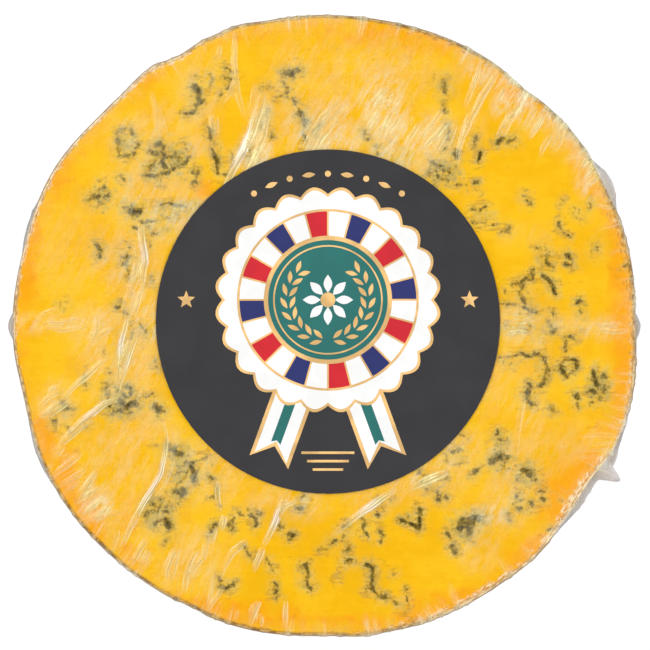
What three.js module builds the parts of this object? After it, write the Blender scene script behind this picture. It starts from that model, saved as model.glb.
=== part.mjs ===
// Half a wheel of blue-veined orange cheese, cut across and standing on its own base
// with the cut face up. It is wrapped tightly in clear film, and a round paper label
// lies on the film in the middle of the cut face.
// Millimetres, +Z up. The origin is in the middle of the flat base.
import * as THREE from 'three';

// The wheel, measured over the film
const WHEEL_RADIUS = 100;
const WHEEL_HEIGHT = 120; // from the base to the cut, half of a whole wheel
const CUT_EDGE_RADIUS = 1.8; // the film rounds the cut edge of the rind
const BASE_EDGE_RADIUS = 9; // the edge that the mould gave the wheel
const WAIST = 0.9; // how far the side draws in half way up
const SEGMENTS = 152; // steps round the wheel
const SIDE_STEPS = 17; // steps down the side

// The label and its seat
const LABEL_RADIUS = 55.3;
const LABEL_THICKNESS = 0.4;
const LABEL_CENTRE = [1.1, 1.5];
const SEAT_RADIUS = 58.5; // the film is pressed flat under the label
const TOP_RINGS = 10; // rings of relief between the seat and the cut edge

// A cheese drains unevenly: each lobe is [waves round the wheel, height, angle of a crest]
const OUTLINE_LOBES = [
  [2, 0.39, 37], [5, 0.3, 10], [6, 0.22, 46], [8, 0.26, 28],
  [9, 0.2, 20], [11, 0.18, 19], [13, 0.16, 9],
];

// Swellings of the rind on the side: [waves round, waves up, height, angle of a crest]
const RIND_SWELLINGS = [
  [7, 1.5, 0.35, 12], [11, -2.5, 0.3, 40], [17, 4, 0.25, 5], [26, -5.5, 0.2, 8],
];

// Film gathered at the foot, in small upright pleats: [waves round, height, angle]
const FOOT_PLEATS = [[31, 0.45, 3], [43, 0.3, 6]];
const PLEAT_REACH = 26; // how high up the side they run

// Film that stands off the cut edge: its angle, half its spread in degrees, how far it
// reaches, how far down the side it runs, and how it leans in degrees on the way down
const LOOSE_FOLDS = [
  { angle: -28.4, spread: 4.2, reach: 5.0, depth: 34, lean: 6 },
  { angle: -33.0, spread: 15, reach: 2.9, depth: 52, lean: 9 },
  { angle: 28.4, spread: 6.5, reach: 3.4, depth: 40, lean: -8 },
  { angle: 160, spread: 9, reach: 1.7, depth: 36, lean: 7 },
  { angle: 205, spread: 11, reach: 2.2, depth: 46, lean: -6 },
];
const FOLD_START = 0.8; // depth below the cut where a fold begins
const FOLD_FULL = 4.5; // depth where it reaches furthest

// The film's seam runs across the cut face and down both sides
const SEAM_ANGLES = [0, 180];
const SEAM_REACH = 1.8;
const SEAM_SPREAD = 3.6; // degrees to each side
const SEAM_HEIGHT = 0.5; // above the cut face
const SEAM_HALF_WIDTH = 3.4;

// Long creases in the film on the cut face: ends, half width and height
const CREASES = [
  { from: [-20, 74], to: [-30, 48], width: 3.0, height: 0.8 },
  { from: [-16, 71], to: [-22, 52], width: 2.2, height: 0.6 },
  { from: [8, 74], to: [-6, 57], width: 2.6, height: 0.6 },
  { from: [56, 81], to: [43, 62], width: 2.6, height: 0.7 },
  { from: [-59, 33], to: [-67, -23], width: 2.8, height: 0.8 },
  { from: [-69, -10], to: [-92, -28], width: 2.4, height: 0.6 },
  { from: [-52, -34], to: [-66, -72], width: 2.6, height: 0.6 },
  { from: [-25, -69], to: [-37, -90], width: 2.6, height: 0.6 },
  { from: [21, -53], to: [2, -66], width: 2.4, height: 0.6 },
];

// Open hollows of the mould, bridged by the film: middle, radius and depth
const HOLLOWS = [
  { at: [-51, 53], radius: 9, depth: 0.8 }, { at: [-41, 76], radius: 7, depth: 0.6 },
  { at: [-67, -24], radius: 8, depth: 0.8 }, { at: [46, -64], radius: 6, depth: 0.9 },
  { at: [31, -62], radius: 6, depth: 0.6 }, { at: [77, 20], radius: 6, depth: 0.8 },
  { at: [64, 8], radius: 8, depth: 0.6 }, { at: [63, 61], radius: 6, depth: 0.6 },
  { at: [-9, 78], radius: 6, depth: 0.8 }, { at: [82, -18], radius: 6, depth: 0.5 },
  { at: [-48, -44], radius: 7, depth: 0.6 }, { at: [22, -80], radius: 7, depth: 0.5 },
];

const { clamp, degToRad, euclideanModulo, lerp, smoothstep } = THREE.MathUtils;

// A wave with a crest at the given angle; all angles are in degrees
function wave(waves, height, crest, angle) {
  return height * Math.cos(degToRad(waves * (angle - crest)));
}

// 1 at the middle of a bump and 0 from its spread outwards, with a smooth top and foot
function bump(offset, spread) {
  const t = clamp(Math.abs(offset) / spread, 0, 1);
  return (1 + Math.cos(Math.PI * t)) / 2;
}

// The signed turn from one angle to another, between -180 and 180 degrees
function turn(from, to) {
  return euclideanModulo(to - from + 180, 360) - 180;
}

// How far the outline stands out of a true circle at this angle
function outlineLobes(angle) {
  return OUTLINE_LOBES.reduce((sum, [waves, height, crest]) => sum + wave(waves, height, crest, angle), 0);
}

// The side's own relief: the rind's swellings, the waist and the pleats at the foot
function sideRelief(angle, z) {
  const up = z / WHEEL_HEIGHT;
  const ends = smoothstep(up, 0.03, 0.12) * smoothstep(1 - up, 0.02, 0.08);
  let relief = -WAIST * Math.sin(Math.PI * clamp(up, 0, 1));
  for (const [around, along, height, crest] of RIND_SWELLINGS) {
    const phase = degToRad(around * (angle - crest)) + 2 * Math.PI * along * up;
    relief += ends * height * Math.cos(phase);
  }
  const foot = smoothstep(z, 1, 8) * (1 - smoothstep(z, 8, PLEAT_REACH));
  for (const [waves, height, crest] of FOOT_PLEATS) {
    relief += foot * wave(waves, height, crest, angle);
  }
  return relief;
}

// How far loose film and the seam stand off the side
function looseFilm(angle, z) {
  const depth = WHEEL_HEIGHT - z;
  let reach = 0;
  for (const fold of LOOSE_FOLDS) {
    const leaning = fold.angle + fold.lean * (depth / fold.depth);
    const start = smoothstep(depth, FOLD_START, FOLD_FULL);
    const fade = 1 - smoothstep(depth, FOLD_FULL, fold.depth);
    reach += fold.reach * bump(turn(leaning, angle), fold.spread) * start * fade;
  }
  for (const seam of SEAM_ANGLES) {
    const ends = smoothstep(depth, FOLD_START, FOLD_FULL) * smoothstep(z, 2, 10);
    reach += SEAM_REACH * bump(turn(seam, angle), SEAM_SPREAD) * ends;
  }
  return reach;
}

// A crease is a long low ridge that dies out towards its ends
function creaseHeight({ from, to, width, height }, x, y) {
  const along = [to[0] - from[0], to[1] - from[1]];
  const length = Math.hypot(...along);
  const t = ((x - from[0]) * along[0] + (y - from[1]) * along[1]) / length ** 2;
  const held = clamp(t, 0, 1);
  const away = Math.hypot(x - from[0] - held * along[0], y - from[1] - held * along[1]);
  return height * bump(away, 2 * width) * (0.5 + 0.5 * bump(held - 0.5, 0.6));
}

// Height of the film over the cut face, measured from the flat seat of the label
function topRelief(x, y) {
  const radius = Math.hypot(x, y);
  let relief = SEAM_HEIGHT * bump(y, 2 * SEAM_HALF_WIDTH);
  for (const crease of CREASES) {
    relief = Math.max(relief, creaseHeight(crease, x, y));
  }
  for (const { at, radius: reach, depth } of HOLLOWS) {
    relief -= depth * bump(Math.hypot(x - at[0], y - at[1]), reach);
  }
  const shoulder = WHEEL_RADIUS - CUT_EDGE_RADIUS;
  const open = smoothstep(radius, SEAT_RADIUS, SEAT_RADIUS + 5) * (1 - smoothstep(radius, shoulder - 5, shoulder));
  return relief * open;
}

// The wheel's section from the seat out over the cut edge, down the side and under to
// the flat base, as stations with a radius, a height and the share of the side's relief
function sectionStations() {
  const stations = [];
  const shoulder = WHEEL_RADIUS - CUT_EDGE_RADIUS;
  for (let i = 0; i <= TOP_RINGS; i++) {
    const t = i / TOP_RINGS;
    stations.push({ radius: lerp(SEAT_RADIUS, shoulder, t * (1.25 - 0.25 * t)), z: WHEEL_HEIGHT, side: t ** 4 });
  }
  for (const turned of [35, 65]) {
    const a = degToRad(turned);
    stations.push({
      radius: shoulder + CUT_EDGE_RADIUS * Math.sin(a),
      z: WHEEL_HEIGHT - CUT_EDGE_RADIUS * (1 - Math.cos(a)),
      side: 1,
    });
  }
  const sideTop = WHEEL_HEIGHT - CUT_EDGE_RADIUS;
  for (let i = 0; i <= SIDE_STEPS; i++) {
    const t = i / SIDE_STEPS;
    // closer together near the cut edge, where the loose film starts
    stations.push({ radius: WHEEL_RADIUS, z: lerp(sideTop, BASE_EDGE_RADIUS, t ** 1.35), side: 1 });
  }
  for (const turned of [25, 50, 75, 90]) {
    const a = degToRad(turned);
    stations.push({
      radius: WHEEL_RADIUS - BASE_EDGE_RADIUS * (1 - Math.cos(a)),
      z: BASE_EDGE_RADIUS * (1 - Math.sin(a)),
      side: Math.cos(a),
    });
  }
  return stations;
}

// The closed skin: a ring of points for each station, a fan on the seat and one on the base
function cheeseGeometry() {
  const stations = sectionStations();
  const positions = [0, 0, WHEEL_HEIGHT];
  for (const { radius, z, side } of stations) {
    for (let k = 0; k < SEGMENTS; k++) {
      const angle = (360 * k) / SEGMENTS;
      const lobes = outlineLobes(angle) * smoothstep(radius, SEAT_RADIUS, WHEEL_RADIUS);
      const out = radius + lobes + side * (sideRelief(angle, z) + looseFilm(angle, z));
      const x = out * Math.cos(degToRad(angle));
      const y = out * Math.sin(degToRad(angle));
      positions.push(x, y, z === WHEEL_HEIGHT ? z + topRelief(x, y) : z);
    }
  }
  positions.push(0, 0, 0);

  const indices = [];
  const ringPoint = (ring, k) => 1 + ring * SEGMENTS + (k % SEGMENTS);
  const lastRing = stations.length - 1;
  const baseMiddle = 1 + stations.length * SEGMENTS;
  for (let k = 0; k < SEGMENTS; k++) {
    indices.push(0, ringPoint(0, k), ringPoint(0, k + 1));
    for (let ring = 0; ring < lastRing; ring++) {
      const [a, b] = [ringPoint(ring, k), ringPoint(ring, k + 1)];
      const [c, d] = [ringPoint(ring + 1, k), ringPoint(ring + 1, k + 1)];
      indices.push(a, c, d, a, d, b);
    }
    indices.push(baseMiddle, ringPoint(lastRing, k + 1), ringPoint(lastRing, k));
  }

  const geometry = new THREE.BufferGeometry();
  geometry.setAttribute('position', new THREE.Float32BufferAttribute(positions, 3));
  geometry.setIndex(indices);
  geometry.computeVertexNormals();
  return geometry;
}

// The cheese in its film, as one solid with the outer form of the wrap
function makeCheese() {
  const material = new THREE.MeshStandardMaterial({ color: 0xf4b02c, roughness: 0.3, metalness: 0 });
  const mesh = new THREE.Mesh(cheeseGeometry(), material);
  mesh.name = 'cheese_in_film';
  return mesh;
}

// The round label, lying on the flat seat
function makeLabel() {
  const disc = new THREE.CylinderGeometry(LABEL_RADIUS, LABEL_RADIUS, LABEL_THICKNESS, 96);
  disc.rotateX(Math.PI / 2);
  const material = new THREE.MeshStandardMaterial({ color: 0x444446, roughness: 0.6, metalness: 0 });
  const mesh = new THREE.Mesh(disc, material);
  mesh.name = 'label';
  mesh.position.set(LABEL_CENTRE[0], LABEL_CENTRE[1], WHEEL_HEIGHT + LABEL_THICKNESS / 2);
  return mesh;
}

const cheese = new THREE.Group();
cheese.add(makeCheese(), makeLabel());
export default cheese;
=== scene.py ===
import math
import random

import bpy
import numpy as np
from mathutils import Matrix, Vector


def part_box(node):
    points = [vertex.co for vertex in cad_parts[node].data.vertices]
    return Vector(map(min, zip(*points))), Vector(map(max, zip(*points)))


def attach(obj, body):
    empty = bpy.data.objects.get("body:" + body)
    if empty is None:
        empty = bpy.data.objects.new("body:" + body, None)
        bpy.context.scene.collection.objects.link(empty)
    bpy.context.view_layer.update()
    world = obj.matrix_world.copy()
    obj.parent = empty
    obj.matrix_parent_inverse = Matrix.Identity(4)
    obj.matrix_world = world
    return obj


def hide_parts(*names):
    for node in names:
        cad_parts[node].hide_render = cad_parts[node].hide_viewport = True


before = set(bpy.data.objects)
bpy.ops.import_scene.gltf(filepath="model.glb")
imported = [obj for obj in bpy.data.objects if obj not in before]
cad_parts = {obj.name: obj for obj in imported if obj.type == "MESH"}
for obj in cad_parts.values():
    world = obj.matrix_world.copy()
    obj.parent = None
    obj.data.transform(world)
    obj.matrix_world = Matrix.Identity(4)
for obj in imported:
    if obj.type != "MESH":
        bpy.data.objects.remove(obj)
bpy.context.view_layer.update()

# The paste is the orange cheese itself, half of a wheel that drained in a hoop and was
# cut across with a wire. Its cut face is flat and faintly torn, and it is open wherever
# blue mould grew along the cracks.
WHEEL_RADIUS = 0.100
SEAT_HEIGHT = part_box("label")[0].z
FILM_GAP = 0.0003
SIDE_GAP = 0.0003
RIND_THICKNESS = 0.0004
PASTE_TOP = SEAT_HEIGHT - FILM_GAP
PASTE_RADIUS = WHEEL_RADIUS - SIDE_GAP - RIND_THICKNESS
PASTE_BASE = 0.004
# How the side runs down inside the rind: how far it is drawn in, and its height
PASTE_SIDE = [(0.0, PASTE_TOP), (0.0010, PASTE_TOP - 0.002), (0.0040, PASTE_TOP - 0.012), (0.0040, 0.020),
              (0.0125, PASTE_BASE)]
PASTE_STEPS = 960
INNER_RING = 0.03
HIDDEN_RADIUS = 0.052
EDGE_START = 0.094
VEIN_DEPTH = 0.0012
DOWN_DEPTH = 0.0002
PASTE_RING_WIDTH = 0.00068

# Each lobe of the outline: waves round the wheel, height, angle of a crest
OUTLINE_LOBES = [
    (2, 0.00039, 37), (5, 0.0003, 10), (6, 0.00022, 46), (8, 0.00026, 28), (9, 0.0002, 20), (11, 0.00018, 19),
    (13, 0.00016, 9),
]
LOBES_START = 0.0585
OUTLINE_GROWTH = 0.0004
# Each dent or bulge of the outline: angle, half its spread in degrees, height
OUTLINE_DENTS = [
    (38, 13, 0.00083), (51, 6, -0.0007), (88, 18, -0.00041), (106, 6, 0.00072), (118, 6, -0.00125),
    (125, 6, 0.0006), (138, 13, -0.00044), (170, 18, -0.00065), (193, 9, -0.00039), (223, 18, -0.00038),
    (245, 6, -0.00047), (277, 6, 0.00058), (313, 9, 0.00057), (329, 6, -0.00049), (337, 6, 0.0005),
    (347, 18, 0.00066),
]

# Where the photograph's pixels fall on the cut face
PHOTO_MIDDLE = (324.5, 326.3)
PHOTO_PIXEL = 0.200 / 622

# Veins of mould: strength, half width in pixels, places along the vein in pixels
MOULD_VEINS = [
    (0.6, 2.6, (118, 134), (123, 131), (128, 130), (134, 136), (139, 146), (133, 155)),
    (0.6, 2.4, (133, 155), (127, 157), (119, 154), (117, 143), (118, 134)),
    (0.8, 2.6, (155, 145), (160, 143), (163, 148)),
    (0.8, 2.6, (150, 150), (156, 155), (153, 162), (150, 168)),
    (0.9, 2.8, (160, 152), (166, 156), (162, 162), (166, 168)),
    (0.7, 2.4, (168, 158), (176, 157), (180, 160)),
    (0.7, 2.4, (172, 165), (178, 168), (186, 163), (190, 158)),
    (0.6, 2.2, (182, 147), (186, 143), (188, 150)),
    (0.9, 2.2, (147, 175), (155, 176), (163, 173), (168, 173), (175, 168)),
    (0.6, 2.0, (158, 178), (160, 184)), (0.7, 3.0, (124, 177), (125, 179)), (0.6, 2.2, (97, 192), (104, 188)),
    (0.8, 3.2, (92, 199), (98, 197)), (0.7, 2.2, (98, 203), (101, 205), (105, 198), (110, 195)),
    (0.4, 2.0, (97, 182), (105, 181)), (1.0, 4.2, (130, 210), (135, 212), (140, 212)),
    (0.5, 2.4, (124, 207), (128, 211)), (0.7, 2.2, (133, 227), (136, 229)),
    (0.8, 1.6, (140, 222), (150, 221), (155, 222)), (0.5, 2.4, (149, 228), (153, 238), (156, 233)),
    (0.4, 1.8, (152, 242), (151, 248)), (0.8, 2.2, (96, 244), (100, 250), (99, 257)),
    (0.5, 1.6, (119, 251), (130, 248)), (0.4, 1.6, (125, 243), (131, 243)),
    (0.6, 2.6, (123, 258), (130, 258), (124, 266)), (0.6, 2.4, (128, 271), (130, 278)),
    (0.4, 1.8, (135, 275), (137, 277)), (0.5, 1.8, (152, 276), (153, 284)),
    (0.9, 2.2, (117, 307), (120, 306)), (0.6, 2.0, (123, 311), (125, 315)), (0.3, 1.8, (60, 303), (68, 302)),
    (0.3, 1.8, (62, 309), (68, 308)), (0.5, 2.0, (131, 325), (133, 331), (130, 340)),
    (0.5, 2.0, (142, 325), (145, 333)), (0.7, 2.0, (156, 363), (157, 367)),
    (0.4, 1.6, (103, 350), (105, 353)), (0.5, 1.8, (110, 372), (112, 378)),
    (0.8, 2.2, (106, 388), (110, 385)), (0.7, 2.2, (108, 393), (108, 399)),
    (0.9, 2.0, (117, 388), (118, 391)),
    (0.9, 2.2, (125, 387), (130, 388), (129, 396), (125, 398), (123, 392)),
    (1.0, 3.4, (121, 402), (126, 408), (131, 405), (137, 404)),
    (0.6, 1.6, (137, 404), (145, 398), (153, 394)), (0.8, 2.6, (111, 406), (115, 412), (121, 412)),
    (0.7, 2.2, (128, 413), (133, 412)), (1.0, 3.2, (156, 406), (160, 410)), (0.6, 2.0, (84, 383), (86, 385)),
    (0.5, 1.8, (83, 377), (86, 374)), (0.7, 2.4, (62, 402), (66, 407), (70, 410)),
    (0.6, 2.4, (55, 419), (55, 425)), (0.6, 2.2, (67, 427), (69, 429)), (0.4, 1.8, (86, 427), (91, 424)),
    (0.35, 1.4, (154, 445), (165, 444), (178, 445)),
    (0.95, 3.0, (168, 448), (173, 450), (178, 452), (183, 454)), (0.8, 2.4, (186, 462), (192, 463)),
    (0.5, 1.2, (192, 463), (200, 460), (208, 456)), (0.5, 1.4, (175, 466), (183, 465)),
    (0.8, 1.4, (172, 473), (180, 473), (186, 473)), (1.0, 3.0, (190, 467), (195, 475), (194, 482)),
    (0.7, 1.4, (175, 484), (181, 482), (185, 479)), (1.0, 3.0, (176, 492), (181, 494), (184, 490)),
    (0.6, 2.0, (182, 498), (178, 503)), (0.4, 2.0, (207, 460), (212, 463)),
    (0.7, 2.8, (210, 477), (212, 479)), (0.5, 1.8, (209, 497), (214, 496)),
    (0.4, 1.8, (217, 487), (218, 500), (220, 507)), (0.6, 1.8, (158, 500), (165, 499), (169, 500)),
    (0.8, 1.8, (152, 505), (158, 508), (161, 505)), (0.7, 1.8, (166, 507), (170, 505)),
    (1.0, 2.0, (164, 512), (167, 512)), (0.8, 2.0, (146, 517), (152, 512), (157, 510)),
    (0.9, 2.2, (154, 524), (162, 521)), (1.0, 3.4, (166, 520), (168, 526)),
    (0.5, 1.8, (167, 538), (164, 544)), (0.8, 2.4, (214, 525), (211, 531)),
    (0.9, 2.0, (234, 519), (229, 524), (233, 529)), (0.6, 2.0, (238, 512), (243, 515)),
    (1.0, 2.0, (252, 514), (255, 520), (256, 526)), (0.9, 1.8, (257, 514), (259, 515)),
    (0.4, 1.6, (248, 506), (249, 510)), (0.9, 2.6, (296, 508), (302, 510)),
    (0.5, 1.6, (301, 498), (305, 496)), (0.8, 2.2, (280, 525), (279, 528)),
    (0.4, 1.4, (283, 527), (288, 532)), (0.9, 2.2, (288, 534), (293, 535), (290, 538)),
    (0.7, 2.0, (245, 548), (250, 555)), (0.6, 2.0, (268, 560), (272, 567), (274, 573)),
    (0.7, 2.0, (274, 584), (275, 592), (277, 596)),
    (0.75, 2.3, (302, 566), (306, 565), (309, 572), (305, 580)),
    (0.75, 2.3, (305, 580), (309, 586), (313, 587)), (0.6, 2.0, (217, 576), (220, 582)),
    (0.9, 2.2, (222, 587), (228, 588), (235, 585)), (0.5, 2.0, (221, 580), (224, 585)),
    (0.7, 2.0, (342, 528), (348, 524)), (0.7, 2.2, (329, 545), (334, 541)),
    (0.4, 1.6, (318, 550), (328, 550)), (0.5, 1.8, (341, 540), (343, 536)),
    (0.6, 2.0, (362, 520), (366, 522), (362, 530)), (0.8, 2.0, (364, 532), (368, 534)),
    (0.9, 2.0, (376, 513), (378, 514)), (0.6, 1.8, (383, 505), (384, 510)),
    (0.6, 1.8, (379, 532), (382, 535), (379, 541)), (0.5, 1.8, (390, 501), (392, 498)),
    (0.6, 1.8, (378, 501), (383, 500)), (0.6, 2.2, (347, 550), (350, 547)),
    (0.9, 2.6, (346, 562), (350, 561)), (0.6, 1.8, (339, 576), (339, 578)),
    (0.9, 2.2, (367, 564), (372, 567), (372, 575), (371, 583), (373, 590)),
    (0.9, 2.0, (373, 590), (378, 594), (386, 597)), (0.7, 1.8, (366, 590), (370, 588)),
    (0.4, 1.6, (392, 575), (396, 574)), (0.8, 2.0, (394, 601), (397, 605)),
    (0.5, 1.6, (405, 588), (407, 596), (410, 606), (403, 608)),
    (1.0, 1.8, (401, 520), (408, 523), (416, 527), (420, 528)),
    (1.0, 2.0, (420, 528), (419, 519), (420, 510)), (0.8, 2.2, (437, 493), (439, 500)),
    (0.7, 2.0, (445, 496), (447, 497)), (0.8, 2.0, (447, 533), (449, 538)),
    (0.9, 2.2, (452, 546), (455, 552), (457, 549)), (1.3, 4.4, (460, 528), (463, 523), (470, 522)),
    (1.2, 3.6, (468, 521), (474, 518), (479, 518)), (1.2, 2.9, (467, 524), (469, 532)),
    (0.5, 1.8, (470, 535), (474, 542)), (0.8, 2.2, (473, 475), (477, 470)),
    (0.5, 1.6, (477, 470), (482, 466)), (0.9, 3.2, (523, 470), (530, 474), (534, 478)),
    (0.6, 2.4, (520, 476), (516, 480)), (0.7, 2.0, (518, 493), (518, 497)),
    (0.9, 2.2, (518, 509), (522, 509)), (0.4, 2.4, (514, 503), (522, 500)),
    (0.8, 2.4, (530, 503), (531, 506)), (0.8, 2.2, (540, 492), (544, 492)),
    (0.8, 2.2, (542, 499), (544, 500)), (0.8, 2.4, (509, 516), (510, 519)),
    (0.4, 1.8, (560, 498), (562, 500)), (0.6, 1.8, (472, 210), (479, 211), (484, 207)),
    (0.6, 1.6, (472, 221), (476, 224), (485, 224), (497, 225)),
    (0.5, 1.8, (502, 233), (508, 232), (508, 226)), (0.7, 1.8, (523, 195), (526, 199), (530, 204)),
    (0.8, 2.4, (431, 162), (436, 164), (441, 166)), (0.7, 2.2, (429, 170), (431, 174)),
    (0.7, 2.0, (436, 170), (438, 177)), (0.6, 2.0, (442, 168), (444, 175), (450, 172)),
    (0.6, 2.2, (441, 179), (447, 183)), (0.6, 1.8, (455, 184), (459, 184)),
    (0.9, 2.4, (455, 153), (458, 156)), (0.6, 2.6, (448, 126), (450, 137), (446, 147)),
    (0.7, 2.4, (475, 139), (474, 148)), (0.9, 2.0, (480, 152), (478, 161)),
    (0.8, 1.8, (475, 182), (479, 182)), (0.4, 1.8, (475, 188), (478, 190)),
    (0.3, 2.0, (466, 183), (467, 190)), (0.8, 2.2, (496, 143), (502, 140), (507, 142), (515, 140)),
    (0.6, 1.8, (443, 103), (446, 112)), (0.6, 3.6, (445, 80), (446, 90)), (0.3, 2.4, (435, 75), (433, 82)),
    (0.5, 3.0, (365, 132), (367, 139)), (0.6, 2.2, (376, 147), (379, 154)),
    (0.3, 1.8, (389, 144), (392, 142)), (0.5, 3.0, (319, 125), (317, 135)),
    (1.0, 2.8, (195, 86), (198, 94), (199, 101)), (0.8, 2.2, (197, 104), (193, 112)),
    (1.0, 2.4, (193, 113), (186, 114)), (0.4, 2.2, (196, 75), (198, 80)), (0.3, 1.8, (188, 82), (187, 88)),
    (0.6, 2.0, (201, 104), (204, 100)), (0.4, 2.4, (209, 75), (211, 82), (210, 86)),
    (0.7, 1.8, (226, 68), (232, 72)), (0.7, 1.8, (226, 78), (231, 80), (228, 90)),
    (0.6, 2.0, (221, 94), (221, 98)), (0.4, 1.6, (218, 60), (218, 63)),
    (1.0, 3.0, (286, 73), (291, 75), (298, 72)), (0.6, 2.4, (283, 84), (287, 89), (286, 97)),
    (0.8, 2.0, (277, 97), (280, 96)), (0.6, 2.0, (261, 89), (268, 86)),
    (0.7, 2.0, (293, 99), (296, 106), (299, 112)), (0.9, 2.8, (299, 112), (303, 118), (306, 122)),
    (0.7, 2.2, (306, 122), (304, 131), (305, 142)), (0.6, 2.2, (268, 110), (265, 119), (260, 129)),
    (0.6, 1.8, (272, 133), (272, 137)), (0.8, 2.0, (209, 128), (210, 133)),
    (0.6, 2.0, (210, 136), (214, 146)), (0.9, 2.2, (214, 152), (217, 160), (219, 168)),
    (0.8, 2.0, (219, 171), (219, 174)), (0.8, 2.2, (224, 175), (227, 176)),
    (0.6, 2.0, (232, 155), (233, 162), (230, 170)), (0.5, 1.8, (241, 149), (243, 151)),
    (0.6, 2.0, (250, 150), (249, 159)), (0.7, 2.2, (193, 172), (199, 172), (196, 178), (195, 184)),
    (0.3, 2.2, (182, 181), (186, 180)), (0.9, 1.4, (160, 205), (170, 204), (178, 205), (185, 208)),
    (0.5, 2.2, (183, 210), (180, 216)), (0.4, 2.0, (166, 218), (172, 215)),
    (0.6, 1.8, (564, 200), (561, 206)), (0.8, 1.8, (558, 222), (561, 230)),
    (0.7, 1.6, (563, 233), (570, 237)), (0.8, 2.0, (590, 204), (591, 206)),
    (0.3, 2.4, (580, 210), (583, 218)), (0.3, 2.0, (571, 211), (575, 209)),
    (0.4, 3.2, (597, 246), (595, 254)), (1.0, 2.2, (567, 254), (570, 257)),
    (0.9, 2.4, (566, 263), (570, 264)), (0.7, 2.2, (537, 247), (541, 247)),
    (0.65, 2.2, (541, 254), (548, 257), (547, 262), (552, 267)),
    (0.7, 2.0, (534, 269), (532, 278), (525, 278)), (0.7, 2.0, (525, 278), (519, 281), (513, 284)),
    (0.9, 2.4, (518, 285), (521, 286)), (0.8, 2.0, (519, 292), (523, 299), (527, 305)),
    (0.4, 1.8, (505, 291), (507, 289)), (0.6, 1.6, (500, 304), (510, 306), (520, 305)),
    (0.8, 2.0, (524, 308), (530, 310), (536, 313)),
    (1.0, 2.2, (543, 276), (548, 278), (552, 285), (555, 294)), (0.9, 2.2, (580, 300), (577, 303)),
    (0.5, 2.0, (580, 309), (583, 316)), (0.6, 2.2, (552, 311), (554, 318)),
    (0.6, 2.2, (548, 322), (552, 327)), (0.7, 2.4, (551, 333), (556, 331)),
    (0.4, 1.8, (505, 325), (509, 332)), (0.4, 1.8, (516, 333), (521, 328)),
    (0.4, 1.6, (526, 331), (530, 326)), (0.6, 1.4, (499, 358), (508, 356), (520, 355)),
    (0.8, 1.8, (521, 354), (527, 356), (533, 354), (541, 354)),
    (0.7, 2.0, (541, 354), (545, 361), (546, 370)), (0.8, 2.6, (546, 370), (546, 378), (540, 386)),
    (0.5, 2.0, (504, 362), (506, 366), (512, 361)), (0.9, 3.0, (531, 385), (526, 392), (527, 398)),
    (0.8, 2.4, (527, 398), (534, 404)), (0.9, 2.2, (550, 409), (554, 412)),
    (0.9, 2.2, (560, 365), (565, 360), (575, 361), (577, 368)),
    (0.9, 2.6, (560, 365), (564, 372), (568, 376)), (0.6, 2.0, (577, 368), (572, 373)),
    (0.6, 1.6, (565, 352), (565, 341)), (0.7, 2.0, (565, 338), (572, 336), (575, 340)),
    (0.9, 2.4, (576, 394), (577, 398)), (0.7, 2.0, (576, 401), (577, 406)),
    (0.4, 1.6, (547, 369), (558, 369)), (1.0, 2.2, (594, 371), (595, 379), (596, 385)),
    (1.0, 2.4, (591, 391), (593, 393)), (0.7, 1.8, (603, 374), (605, 376)),
    (0.6, 2.4, (601, 384), (606, 390), (600, 397)), (0.3, 3.4, (601, 375), (605, 386), (602, 396)),
    (0.7, 2.0, (597, 397), (599, 399)), (0.5, 1.6, (588, 404), (593, 403)),
    (0.4, 1.6, (580, 331), (584, 330)), (0.9, 2.0, (499, 430), (497, 434)),
    (0.6, 1.8, (500, 439), (503, 441)), (0.4, 2.2, (505, 437), (507, 447)),
    (1.0, 3.3, (492, 460), (498, 457), (502, 455), (506, 458)), (0.7, 2.2, (504, 462), (502, 467)),
    (0.6, 1.8, (504, 468), (510, 468)), (0.5, 1.8, (462, 435), (467, 438)),
    (0.7, 1.6, (452, 452), (458, 450), (464, 449)), (0.5, 1.8, (445, 455), (447, 462)),
    (0.5, 1.8, (455, 465), (462, 463)), (0.6, 1.8, (420, 472), (424, 475)),
    (0.6, 2.8, (423, 480), (425, 484)), (0.6, 2.0, (425, 489), (428, 491)),
    (0.6, 2.0, (441, 480), (446, 478)), (0.5, 1.6, (622, 268), (628, 265)),
    (0.6, 1.6, (548, 531), (555, 527)),
]

# Where the paste is a deeper orange: middle and half sizes in pixels, strength
DEEPER_ORANGE = [
    (46, 436, 13, 26, 1.0), (66, 474, 15, 28, 1.1), (92, 512, 15, 24, 0.9), (240, 608, 70, 12, 0.7),
    (28, 250, 12, 80, 0.8), (620, 300, 14, 120, 1.0), (566, 500, 30, 40, 1.3), (582, 470, 16, 34, 1.1),
    (530, 555, 30, 22, 0.7), (395, 38, 85, 12, 0.7), (520, 95, 40, 16, 0.6), (203, 189, 13, 13, 1.0),
    (415, 145, 10, 6, 0.7), (130, 515, 16, 50, 0.5), (90, 480, 20, 30, 0.4), (300, 618, 120, 8, 0.6),
    (430, 600, 60, 14, 0.6), (60, 160, 20, 40, 0.5), (120, 85, 40, 12, 0.4), (590, 200, 16, 30, 0.3),
]
VEIN_SPREAD = 1.15
HALO_SPREAD = 2.5
TEAR_SPREAD = 7.0

# Where the edge of the cut crumbled: angle, half its spread in degrees, width in pixels, strength
RIM_CRUMBS = [
    (-36, 20, 7.6, 0.85), (-58, 16, 6.0, 0.8), (-75, 24, 5.5, 0.75), (-104, 16, 4.0, 0.6), (-8, 26, 6.0, 0.7),
    (16, 18, 8.0, 0.8), (40, 22, 7.0, 0.7), (68, 24, 6.0, 0.6), (96, 26, 4.0, 0.5), (125, 26, 3.4, 0.75),
    (165, 34, 3.2, 0.75), (215, 30, 2.2, 0.3), (240, 18, 3.0, 0.5),
]
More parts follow.
